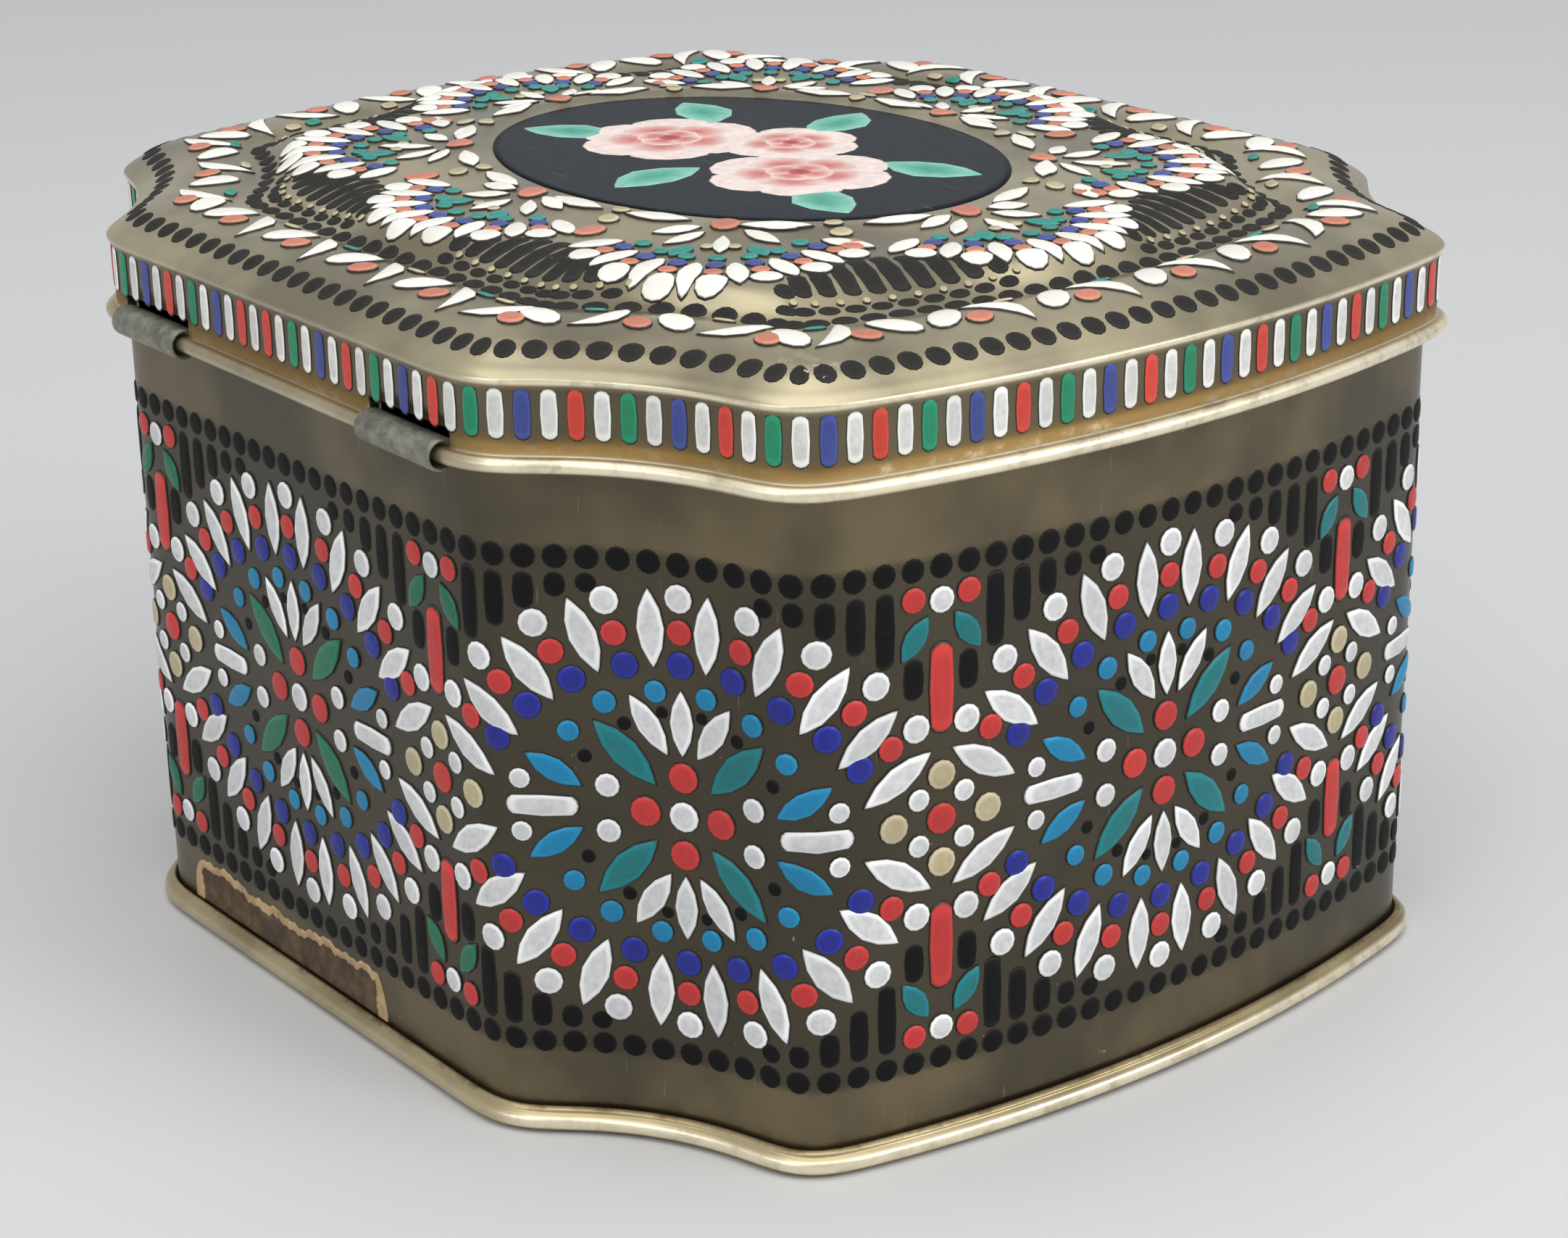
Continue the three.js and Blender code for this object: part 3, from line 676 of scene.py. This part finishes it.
# Domes for a list of beads. The outline is an ellipse, a leaf or lens (half width times sin |sin| to a
# power, which points the ends) or a pill (ends of half circles); rings shrink it to the crown while the
# height grows; bend curves a bead like a bow
def beadPoints(beads, height):
    kinds = np.array([b[0] for b in beads])
    u, v, a, b, turn, bend = np.array([bead[1:] for bead in beads], dtype=float).T[:, :, None, None]
    angle = np.linspace(0, 2 * np.pi, beadForm["around"], endpoint=False)[None, None, :]
    rings = np.array(beadForm["rings"])[None, :, None]
    c, sn = np.cos(angle), np.sin(angle)
    pill = (kinds == "pill")[:, None, None]
    points = [beadForm["lensPoint"], beadForm["leafPoint"]]
    point = np.select([kinds == "lens", kinds == "leaf"], points, 0.0)[:, None, None]
    along = np.where(pill, b * c + (a - b) * np.clip(4 * c, -1, 1), a * c)
    across = b * sn * np.abs(sn) ** point
    along, across = along * rings, across * rings
    across = across + bend * (along ** 2 / a - a / 3)
    rise = np.array(beadForm["rise"])[None, :, None] * height * np.ones_like(along)
    sides = (along, across, rise, np.broadcast_to(rings, along.shape))
    one, sag = np.ones((len(beads), 1)), -bend[:, :, 0] * a[:, :, 0] / 3
    crown = (0 * one, sag, height * one, 0 * one)
    foot = (0 * one, sag, beadForm["rise"][0] * height * one, one)
    along, across, rise, rim = (np.concatenate([side.reshape(len(beads), -1), high, low], 1)
                                for side, high, low in zip(sides, crown, foot))
    turn = np.radians(turn[:, :, 0])
    bu = u[:, :, 0] + along * np.cos(turn) - across * np.sin(turn)
    bv = v[:, :, 0] + along * np.sin(turn) + across * np.cos(turn)
    return bu, bv, rise, rim


# Faces of one bead, repeated for all of them: rings of quads, a fan at the crown and one at the foot
def beadFaces(count):
    n, rings = beadForm["around"], len(beadForm["rings"])
    k = np.arange(n)
    after = (k + 1) % n
    quads = np.concatenate([np.stack([r * n + k, r * n + after, (r + 1) * n + after, (r + 1) * n + k], -1)
                            for r in range(rings - 1)])
    top = (rings - 1) * n
    fan = np.stack([top + k, top + after, np.full(n, rings * n)], -1)
    foot = np.stack([after, k, np.full(n, rings * n + 1)], -1)
    start = (np.arange(count) * (rings * n + 2))[:, None, None]
    parts = (quads, fan, foot)
    return sum([(part[None] + start).reshape(-1, part.shape[1]).tolist() for part in parts], [])


# One piece for each colour of beads, laid on a surface: a function from u, v and rise to x, y, z
def layBeads(group, beads, surface, height, body, palette=enamels):
    for shade in sorted({bead[0] for bead in beads}):
        same = [bead[1:] for bead in beads if bead[0] == shade]
        u, v, rise, rim = beadPoints(same, height * (beadForm["blackRise"] if shade == "black" else 1))
        tone = np.broadcast_to(chance.random(len(same))[:, None], rim.shape)
        places = np.stack(surface(u, v, rise), -1).reshape(-1, 3)
        marks = {"rim": rim, "tone": tone}
        name, slot = group + "_" + shade, "enamel_" + shade
        addPiece(name, places, beadFaces(len(same)), body, palette[shade], marks)


def onWall(u, v, rise):
    x, y = planAt(u, rise)
    return x, y, v


# u is the way round the skirt itself, which is longer at the corners than the wall's
skirtPlace = planAt(wayAlong, lid["skirtOut"])
skirtWay = np.concatenate([[0], np.cumsum(np.hypot(*np.diff(skirtPlace, axis=1)))])


def onSkirt(u, v, rise):
    x, y = planAt(np.interp(np.mod(u, skirtWay[-1]), skirtWay, wayAlong), lid["skirtOut"] + rise)
    return x, y, v


# v is the inset from the wall, on the rounded shoulder; rise leans outwards as the shoulder does
def onShoulder(u, v, rise):
    out, up = 0.35, 0.93
    x, y = planAt(u, -v + out * rise)
    line = shoulder[lid["ridgeRows"]:][::-1]
    inner = np.interp(v, [3, 5], [0, 0.6])
    return x, y, np.interp(-v, line[:, 0], line[:, 1]) + inner + up * rise


# u and v are x and y, seen from above
def onTop(u, v, rise):
    inset, s = topInset(u, v)
    return u, v, topHeight(inset, s) + rise


# A bead from one end to the other
def between(shade, kind, u1, v1, u2, v2, width, bend=0.0):
    turn = np.degrees(np.arctan2(v2 - v1, u2 - u1))
    half = np.hypot(u2 - u1, v2 - v1) / 2
    return (shade, kind, (u1 + u2) / 2, (v1 + v2) / 2, half, width / 2, turn, bend)


def dot(shade, u, v, size):
    return (shade, "dot", u, v, size / 2, size / 2, 0.0, 0.0)


# Mirrors beads into all four quarters; one that lies on an axis is laid once
def fourfold(beads):
    laid = {}
    for shade, kind, u, v, a, b, turn, bend in beads:
        for su in (1, -1):
            for sv in (1, -1):
                key = (shade, kind, round(su * u, 3) + 0.0, round(sv * v, 3) + 0.0)
                laid.setdefault(key, (a, b, turn * su * sv, bend))
    return [key + form for key, form in laid.items()]


# The mosaic of the wall: rosettes of rings of beads and, between them, upright separators
mosaic = {
    "middle": 35.2, "shift": -1.3, "rowHeight": 25.6, "rowDots": 18, "rowDot": 2.57, "height": 0.32,
    "rosetteLeaf": ("green", "teal", "teal", "teal"), "separatorLeaf": ("green", "teal", "teal", "green"),
}

# Beads of a quarter of a rosette, in millimetres from its middle: dots are (colour, u, v, size), the
# others (colour, kind, u and v of one end, u and v of the other, width), rings (colour, half width, half
# height, size)
rosetteForm = {
    "dots": (
        ("white", 0, 0, 3.4), ("red", 4.05, 0, 3.4), ("red", 0, 4.05, 3.4), ("white", 7.85, 2.4, 2.7),
    ),
    "leaf": (2.7, 2.7, 9.3, 9.3, 3.3),
    "petals": (("white", "lens", 0, 6.0, 0, 13.3, 2.7), ("white", "lens", 1.43, 6.0, 5.5, 12.25, 2.7)),
    "studs": (
        ("turquoise", 2.7, 12.6, 2.5), ("turquoise", 7.86, 11.05, 2.6), ("turquoise", 11.5, 7.9, 2.4),
        ("black", 2.1, 10.5, 1.3), ("black", 6.0, 8.95, 1.5), ("black", 10.0, 5.3, 1.5),
    ),
    "sidePetals": (
        ("turquoise", "lens", 16.0, 5.64, 10.2, 2.07, 2.6), ("white", "pill", 10.5, 0, 18.2, 0, 2.43),
    ),
    "sideDot": ("white", 16.45, 2.8, 2.3),
    "rings": (("blue", 20.7, 15.6, 3.0), ("red", 24.3, 18.9, 2.85), ("white", 27.3, 22.3, 3.15)),
    "ringStep": 16, "ringDots": 5, "rayWidth": 3.1,
    "rays": (
        (3.2, 23.3, 2.75, 14.75), (11.25, 21.8, 8.2, 13.75), (17.8, 17.6, 12.6, 10.8),
        (22.8, 12.25, 16.1, 7.1), (26.4, 7.3, 18.7, 2.6),
    ),
}
separatorForm = {
    "dots": (("red", 0, 0, 3.5), ("white", 2.5, 2.4, 2.5), ("cream", 0, 4.55, 3.3), ("cream", 5.2, 0, 3.3)),
    "pills": (("red", "pill", 0, 8.6, 0, 18.3, 2.85), ("black", "pill", 3.0, 12.6, 3.0, 16.9, 2.3)),
    "leaf": (1.36, 21.0, 4.4, 16.6, 2.6), "tips": (("red", 3.0, 22.7, 2.8), ("white", 0, 22.3, 2.9)),
    "fringe": (16.25, 18.2, 20.25, 21.5, 22.0), "fringeTop": 24.1, "fringeFrom": 6.0, "fringeStep": 3.01,
    "fringeWidth": 2.2,
}


# Places on an ellipse, stepping down from its top
def ringPlaces(halfWidth, halfHeight):
    angle = np.radians(90 - rosetteForm["ringStep"] * np.arange(rosetteForm["ringDots"]))
    return zip(halfWidth * np.cos(angle), halfHeight * np.sin(angle))


def rosette(leaf):
    f = rosetteForm
    beads = [dot(*one) for one in f["dots"]]
    beads.append(between(leaf, "lens", *f["leaf"]))
    beads += [between(*one) for one in f["petals"]]
    beads += [dot(*one) for one in f["studs"]]
    beads += [between(*one) for one in f["sidePetals"]]
    beads.append(dot(*f["sideDot"]))
    for shade, halfWidth, halfHeight, size in f["rings"]:
        beads += [dot(shade, u, v, size) for u, v in ringPlaces(halfWidth, halfHeight)]
    beads += [between("white", "lens", *ends, f["rayWidth"]) for ends in f["rays"]]
    return fourfold(beads)


def separator(leaf):
    f = separatorForm
    beads = [dot(*one) for one in f["dots"]]
    beads += [between(*one) for one in f["pills"]]
    beads.append(between(leaf, "lens", *f["leaf"]))
    beads += [dot(*one) for one in f["tips"]]
    for k, foot in enumerate(f["fringe"]):
        u = f["fringeFrom"] + f["fringeStep"] * k
        beads.append(between("black", "pill", u, f["fringeTop"], u, foot, f["fringeWidth"]))
    return fourfold(beads)


def moved(beads, du, dv):
    return [(shade, kind, u + du, v + dv, *form) for shade, kind, u, v, *form in beads]


wallBeads = []
for k in range(rosettes):
    leaf = mosaic["rosetteLeaf"][k % len(mosaic["rosetteLeaf"])]
    wallBeads += moved(rosette(leaf), mosaic["shift"] + k * pitch, mosaic["middle"])
    leaf = mosaic["separatorLeaf"][k % len(mosaic["separatorLeaf"])]
    wallBeads += moved(separator(leaf), mosaic["shift"] + (k + 0.5) * pitch, mosaic["middle"])
rowStep = pitch / mosaic["rowDots"]
for side in (1, -1):
    v = mosaic["middle"] + side * mosaic["rowHeight"]
    for k in range(rosettes * mosaic["rowDots"]):
        wallBeads.append(dot("black", mosaic["shift"] + k * rowStep, v, mosaic["rowDot"]))
layBeads("wall_beads", wallBeads, onWall, mosaic["height"], "box")

# Pills round the skirt: white between red, green and blue, with a join on the back
skirtPills = {
    "count": 176, "middle": 75.1, "halfHeight": 2.65, "halfWidth": 0.9, "start": -0.5, "height": 0.16,
    "order": ("red", "white", "green", "white", "blue", "white"),
}
pillForm = (skirtPills["middle"], skirtPills["halfHeight"], skirtPills["halfWidth"], 90.0, 0.0)
step = skirtWay[-1] / skirtPills["count"]
pills = []
for k in range(skirtPills["count"]):
    shade = skirtPills["order"][k % len(skirtPills["order"])]
    pills.append((shade, "pill", skirtPills["start"] + k * step, *pillForm))
layBeads("skirt_beads", pills, onSkirt, skirtPills["height"], "lid", skirtEnamels)

# Black row on the lid's shoulder
shoulderRow = {"count": 148, "inset": 1.6, "halfLength": 1.2, "halfWidth": 1.27, "height": 0.3}
dotForm = (shoulderRow["inset"], shoulderRow["halfWidth"], shoulderRow["halfLength"], 0.0, 0.0)
step = wayRound / shoulderRow["count"]
row = [("black", "dot", (k + 0.5) * step, *dotForm) for k in range(shoulderRow["count"])]
layBeads("shoulder_beads", row, onShoulder, shoulderRow["height"], "lid", lidEnamels)


# A bead of the lid's top given by the way round and inset of its middle; lean is its turn from the way
# round
def topBead(shade, kind, s, inset, a, b, lean=0.0, bend=0.0):
    x, y = topAt(s, inset)
    ahead = topAt(s + 0.5, inset)
    heading = np.degrees(np.arctan2(ahead[1] - y, ahead[0] - x))
    return (shade, kind, x, y, a, b, heading + lean, bend)


# Border: cups of a fat petal and a bent one round a salmon bead, mirrored at the corner cuts. A bead is
# (colour, kind, way from the cup's middle, inset, half length, half width, lean, bend)
borderForm = {
    "cups": 32, "studShades": ("cream", "teal"), "stud": (-4.9, 9.9, 1.2, 0.65),
    "beads": (
        ("white", "dot", 3.9, 7.5, 3.2, 1.75, -52, 0), ("salmon", "dot", 0.3, 6.3, 1.75, 1.4, -40, 0),
        ("white", "lens", -3.0, 7.4, 4.1, 1.15, 55, 0.42),
    ),
}


def borderBeads():
    f = borderForm
    beads = []
    step = wayRound / f["cups"]
    for k in range(f["cups"]):
        s = (k + 0.5) * step
        side = 1 if int((k + 2) // 4) % 2 else -1
        for shade, kind, ahead, inset, a, b, lean, bend in f["beads"]:
            beads.append(topBead(shade, kind, s + side * ahead, inset, a, b, side * lean, side * bend))
        ahead, *form = f["stud"]
        beads.append(topBead(f["studShades"][k % 2], "pill", s + side * ahead, *form))
    return beads


# Foot of the cushion: a row of dots and, in each valley, upright pills over smaller dots with pale studs.
# Half the length of a pill falls off to both sides of the valley as a parabola
footForm = {
    "dots": 120, "dot": (12.2, 1.4, 0.95), "pills": 10, "step": 3.5, "pillFoot": 15.0, "pillHalf": 3.9,
    "pillSpread": 5.2, "pillLeast": 1.15, "pillWidth": 1.1, "under": (13.95, 1.15, 0.68),
    "stud": (14.75, 0.42, 0.40),
}


def footBeads():
    f = footForm
    beads = []
    for k in range(f["dots"]):
        beads.append(topBead("black", "dot", (k + 0.5) * wayRound / f["dots"], *f["dot"]))
    for valley in range(rosettes):
        middle = (valley + 0.5) * pitch
        for k in np.arange(f["pills"]) - (f["pills"] - 1) / 2:
            s = middle + k * f["step"]
            half = f["pillHalf"] * (1 - (k / f["pillSpread"]) ** 2)
            length = max(half, f["pillLeast"])
            beads.append(topBead("black", "pill", s, f["pillFoot"] + half, length, f["pillWidth"], 90))
            beads.append(topBead("black", "dot", s, *f["under"]))
            beads.append(topBead("cream", "dot", middle + (k + 0.5) * f["step"], *f["stud"]))
    return beads


# A half rosette on the cushion, its middle on the oval's edge: rings of beads and petals opening out.
# Degrees count from straight outwards, reaches from the middle; petals are (from, to, width)
fanForm = {
    "innerInset": 31.2, "outerInset": 13.6, "reach": 18.6, "squeeze": 0.88, "heart": 3.4,
    "rays": (-60, -40, -20, 0, 20, 40, 60),
    "rings": (("white", 17.3, 3.5), ("salmon", 14.9, 2.1), ("blue", 12.5, 2.1), ("teal", 10.2, 1.9)),
    "leaves": (-70, -50, -30, -10, 10, 30, 50, 70), "leaf": (11.6, 18.6, 2.5),
    "greens": (-30, 30), "green": (6.5, 11, 2.4), "petals": (-80, -52, 0, 52, 80), "petal": (2.6, 8.6, 2.0),
    "studs": (-14, 14), "stud": (6.4, 1.5),
}


def fanBeads(share):
    f = fanForm
    s = share * wayRound
    x0, y0 = topAt(s, f["innerInset"])
    x1, y1 = topAt(s, f["outerInset"])
    out = np.arctan2(y1 - y0, x1 - x0)
    stretch = np.hypot(x1 - x0, y1 - y0) / f["reach"]

    def place(r, degrees):
        turn = np.radians(degrees)
        along, across = stretch * r * np.cos(turn), f["squeeze"] * r * np.sin(turn)
        x = x0 + along * np.cos(out) - across * np.sin(out)
        return x, y0 + along * np.sin(out) + across * np.cos(out)

    def petal(shade, kind, degrees, form):
        low, high, width = form
        return between(shade, kind, *place(low, degrees), *place(high, degrees), width)

    beads = [dot("salmon", x0, y0, f["heart"])]
    for degrees in f["rays"]:
        beads += [dot(shade, *place(r, degrees), size) for shade, r, size in f["rings"]]
    beads += [petal("white", "leaf", degrees, f["leaf"]) for degrees in f["leaves"]]
    beads += [petal("teal", "lens", degrees, f["green"]) for degrees in f["greens"]]
    beads += [petal("white", "lens", degrees, f["petal"]) for degrees in f["petals"]]
    beads += [dot("cream", *place(f["stud"][0], degrees), f["stud"][1]) for degrees in f["studs"]]
    return beads


# Round the oval: long petals between the half rosettes and three beads in a line behind each pair
ovalForm = {
    "petal": (31.6, 4.0, 1.25), "petalAside": 13, "bud": (26.2, 2.1, 1.5, 90),
    "studs": ((29.6, 1.3, 1.1), (32.0, 1.1, 1.0)),
}


def ovalBeads():
    f = ovalForm
    beads = []
    for k in range(rosettes):
        middle = (k + 0.5) * pitch
        for side in (-1, 1):
            beads.append(topBead("white", "lens", middle + side * f["petalAside"], *f["petal"]))
        beads.append(topBead("salmon", "dot", middle, *f["bud"]))
        beads += [topBead("cream", "dot", middle, *stud) for stud in f["studs"]]
    return beads


topBeadHeight = 0.4
topBeads = borderBeads() + footBeads() + ovalBeads()
for k in range(rosettes):
    topBeads += fanBeads(k / rosettes)
layBeads("lid_beads", topBeads, onTop, topBeadHeight, "lid", lidEnamels)
print("beads done")

# The oval panel: black paint, a little bulged, under roses of the maker's own layout in low strokes of
# paint
panel = {
    "reach": 0.985, "rings": 24, "around": 160, "lift": 0.03, "bulge": 0.12, "depth": 0.1,
    "ground": (0.012, 0.016, 0.02),
}
r = np.linspace(0, 1, panel["rings"])[1:, None] * panel["reach"]
turn = np.linspace(0, 2 * np.pi, panel["around"], endpoint=False)[None, :]
x, y = lid["ovalX"] * r * np.cos(turn), lid["ovalY"] * r * np.sin(turn)
z = lid["oval"] + panel["lift"] + panel["bulge"] * (1 - r ** 2) + 0 * x
middles = [[0, 0, lid["oval"] + panel["lift"] + panel["bulge"]], [0, 0, lid["oval"] - panel["depth"]]]
points = np.concatenate([np.stack([x, y, z], -1).reshape(-1, 3), middles])
quads = gridFaces(panel["rings"] - 1, panel["around"]).reshape(-1, 4)
k = np.arange(panel["around"])
after = (k + 1) % panel["around"]
last = (panel["rings"] - 2) * panel["around"]
crown = np.stack([k, after, np.full(len(k), len(points) - 2)], -1)
under = np.stack([last + after, last + k, np.full(len(k), len(points) - 1)], -1)
faces = quads[:, ::-1].tolist() + crown.tolist() + under.tolist()
ground = np.tile(panel["ground"], (len(points), 1))
picture = picturePaint("picture_panel")
addPiece("oval_panel", points, faces, "lid", picture, colours=ground)

# Roses are (x, y, size), leaves (x, y, turn), rings of petals (count, reach, half length) as shares of
# the size
bloom = {
    "pale": (0.86, 0.72, 0.66), "rose": (0.62, 0.16, 0.14), "deep": (0.36, 0.05, 0.05),
    "leaf": (0.05, 0.34, 0.24), "leafPale": (0.30, 0.62, 0.50), "leafSize": (6.2, 3.4), "leafBend": 0.12,
    "rings": ((6, 0.62, 0.46), (5, 0.40, 0.36), (4, 0.18, 0.24)), "petalWidth": 0.8, "petalTurn": 0.4,
    "ringRise": 0.03, "petalRise": 0.004, "heart": (0.14, 0.12), "heartRise": 0.11,
    "roses": ((-11.0, 1.5, 10.5), (11.5, 2.0, 10.5), (0.5, -6.5, 8.0)),
    "leaves": ((-22, 7, 160), (-19, -10, 200), (20, -9, -20), (22, 8, 25), (-2, 14, 95), (5, -17, -70)),
    "stroke": 0.05, "blend": 1.5,
}


# Strokes of one rose: rings of round petals, pale at the edge and rosy within, round a small heart
def roseStrokes(x, y, size):
    strokes = []
    for ring, (count, reach, half) in enumerate(bloom["rings"]):
        shade = bloom["rose"] if ring else bloom["pale"]
        for k in range(count):
            turn = 2 * np.pi * (k + 0.5 * ring) / count + bloom["petalTurn"]
            px, py = x + size * reach * np.cos(turn), y + size * reach * np.sin(turn)
            length, width = size * half, size * half * bloom["petalWidth"]
            form = ("dot", px, py, length, width, np.degrees(turn) + 90, 0.0)
            strokes.append((form, shade, bloom["pale"], bloom["ringRise"] * ring + bloom["petalRise"] * k))
    long, wide = bloom["heart"]
    form = ("dot", x, y, size * long, size * wide, 0.0, 0.0)
    strokes.append((form, bloom["deep"], bloom["rose"], bloom["heartRise"]))
    return strokes


strokes = []
for x, y, angle in bloom["leaves"]:
    form = ("lens", x, y, *bloom["leafSize"], angle, bloom["leafBend"])
    strokes.append((form, bloom["leaf"], bloom["leafPale"], 0.0))
for x, y, size in bloom["roses"]:
    strokes += roseStrokes(x, y, size)
u, v, rise, rim = beadPoints([stroke[0] for stroke in strokes], bloom["stroke"])
levels = np.array([stroke[3] for stroke in strokes])[:, None]
middle, edge = (np.array([stroke[i] for stroke in strokes])[:, None, :] for i in (1, 2))
blend = np.clip(rim, 0, 1)[:, :, None] ** bloom["blend"]
tint = (middle * (1 - blend) + edge * blend).reshape(-1, 3)
bulge = panel["bulge"] * (1 - (u / lid["ovalX"]) ** 2 - (v / lid["ovalY"]) ** 2)
points = np.stack([u, v, lid["oval"] + panel["lift"] + bulge + rise + levels], -1).reshape(-1, 3)
faces = beadFaces(len(strokes))
addPiece("oval_flowers", points, faces, "lid", picture, colours=tint)
print("picture done")

# Remains of a torn label low on the back: a thin patch, its upper edge ragged by a sum of sines, each
# (waves, shift, height); "edge" is 1 on its torn edge and falls to 0 inside, where the paper is thinner
label = {
    "from": -28.5, "to": 12.4, "low": 2.5, "high": 7.4, "columns": 180, "rows": 26, "lift": 0.12,
    "rags": ((0.21, 0.4, 0.35), (0.63, 1.9, 0.25), (1.7, 0.2, 0.16), (4.1, 2.2, 0.1)),
    "torn": 1.5, "endReach": 1.5, "endLeast": 0.02, "slope": 0.15, "thin": 0.8, "thick": 0.5,
    "sunk": 0.02, "behind": 0.1,
}
u = np.linspace(label["from"], label["to"], label["columns"])[None, :]
ragged = sum(np.sin(u * waves + shift) * height for waves, shift, height in label["rags"])
fromEnd = np.minimum(u - label["from"], label["to"] - u)
taper = np.clip(fromEnd / label["endReach"], label["endLeast"], 1) ** 0.5
top = label["low"] + (label["high"] - label["low"] + ragged) * taper
share = np.linspace(0, 1, label["rows"])[:, None]
v = label["low"] + share * (top - label["low"])
fromEdge = np.minimum(top - v, 0.5 * fromEnd + 0 * v)
edge = np.clip(1 - fromEdge / label["torn"], 0, 1)
paper = label["thin"] + label["thick"] * np.clip(2 * edge, 0, 1)
lift = label["lift"] * np.clip(fromEdge / label["slope"], 0, 1) * paper - label["sunk"]
front = np.stack([*planAt(u + 0 * v, lift), v], -1).reshape(-1, 3)
rear = np.stack([*planAt(u + 0 * v, -label["behind"]), v], -1).reshape(-1, 3)
grid = np.arange(len(front)).reshape(v.shape)
quads = np.stack([grid[:-1, :-1], grid[:-1, 1:], grid[1:, 1:], grid[1:, :-1]], -1).reshape(-1, 4)
ring = np.concatenate([grid[0, :-1], grid[:-1, -1], grid[-1, :0:-1], grid[:0:-1, 0]])
ahead = np.roll(ring, -1)
rim = np.stack([ahead, ring, ring + len(front), ahead + len(front)], -1)
faces = np.concatenate([quads, quads[:, ::-1] + len(front), rim]).tolist()
points = np.concatenate([front, rear])
marks = {"edge": np.tile(edge.ravel(), 2)}
addPiece("label_residue", points, faces, "box", tornLabel("label_residue"), marks)
print("label done")

# Floor, light and camera. Lamps are (place, size, power)
studio = {
    "floor": (0.62, 0.62, 0.61), "floorShade": (0.5, 0.5, 0.5), "floorCloud": 300.0, "floorRough": 0.55,
    "floorHalf": 3.0, "floorZ": -0.0002, "world": 0.62, "sky": (0.86, 0.88, 0.92), "aim": (0, 0, 0.05),
    "lamps": {
        "top": ((-0.22, 0.14, 0.95), 1.1, 6.5), "side": ((-0.75, -0.35, 0.45), 0.5, 3.0),
        "fill": ((-0.2, 0.95, 0.5), 0.6, 2.0),
    },
}
floorMesh = bpy.data.meshes.new("floor")
h = studio["floorHalf"]
floorCorners = [(x, y, studio["floorZ"]) for x, y in ((-h, -h), (h, -h), (h, h), (-h, h))]
floorMesh.from_pydata(floorCorners, [], [(0, 1, 2, 3)])
floorMaterial, start, places, shader = newMaterial("floor")
cloud = noise(start, places, studio["floorCloud"])
floorColour = (cloud * 0.12).mix(colour(*studio["floor"]), colour(*studio["floorShade"]))
connect(start, shader, {"Base Color": floorColour})
shader.inputs["Roughness"].default_value = studio["floorRough"]
floorMesh.materials.append(floorMaterial)
floor = bpy.data.objects.new("floor", floorMesh)
bpy.context.scene.collection.objects.link(floor)

world = bpy.data.worlds.new("studio")
world.use_nodes = True
world.node_tree.nodes["Background"].inputs["Color"].default_value = colour(*studio["sky"])
world.node_tree.nodes["Background"].inputs["Strength"].default_value = studio["world"]
bpy.context.scene.world = world
bpy.context.scene.view_settings.view_transform = "Standard"


# A soft square lamp that looks at the tin's middle
def softLamp(name, place, size, power):
    lamp = bpy.data.lights.new(name, "AREA")
    lamp.shape, lamp.size, lamp.energy = "SQUARE", size, power
    holder = bpy.data.objects.new(name, lamp)
    holder.location = place
    holder.rotation_euler = (Vector(studio["aim"]) - Vector(place)).to_track_quat("-Z", "Y").to_euler()
    bpy.context.scene.collection.objects.link(holder)


for name, (place, size, power) in studio["lamps"].items():
    softLamp(name, place, size, power)

camera = {
    "place": (-283.42, 218.50, 166.74), "azimuth": 231.861, "elevation": 21.003, "roll": -0.944,
    "lens": 76.34, "sensor": 36.0, "clip": 0.01,
}
a, e, roll = np.radians([camera["azimuth"], camera["elevation"], camera["roll"]])
back = Vector((np.sin(a) * np.cos(e), -np.cos(a) * np.cos(e), np.sin(e)))
level = (-back).cross(Vector((0, 0, 1))).normalized()
upward = level.cross(-back)
right = level * np.cos(roll) + upward * np.sin(roll)
upward = upward * np.cos(roll) - level * np.sin(roll)
turned = Matrix((right, upward, back)).transposed().to_4x4()
eye = bpy.data.objects.new("camera", bpy.data.cameras.new("camera"))
eye.matrix_world = Matrix.Translation(Vector(camera["place"]) * mm) @ turned
eye.data.lens, eye.data.sensor_width = camera["lens"], camera["sensor"]
eye.data.clip_start = camera["clip"]
bpy.context.scene.collection.objects.link(eye)
bpy.context.scene.camera = eye
print("studio done")
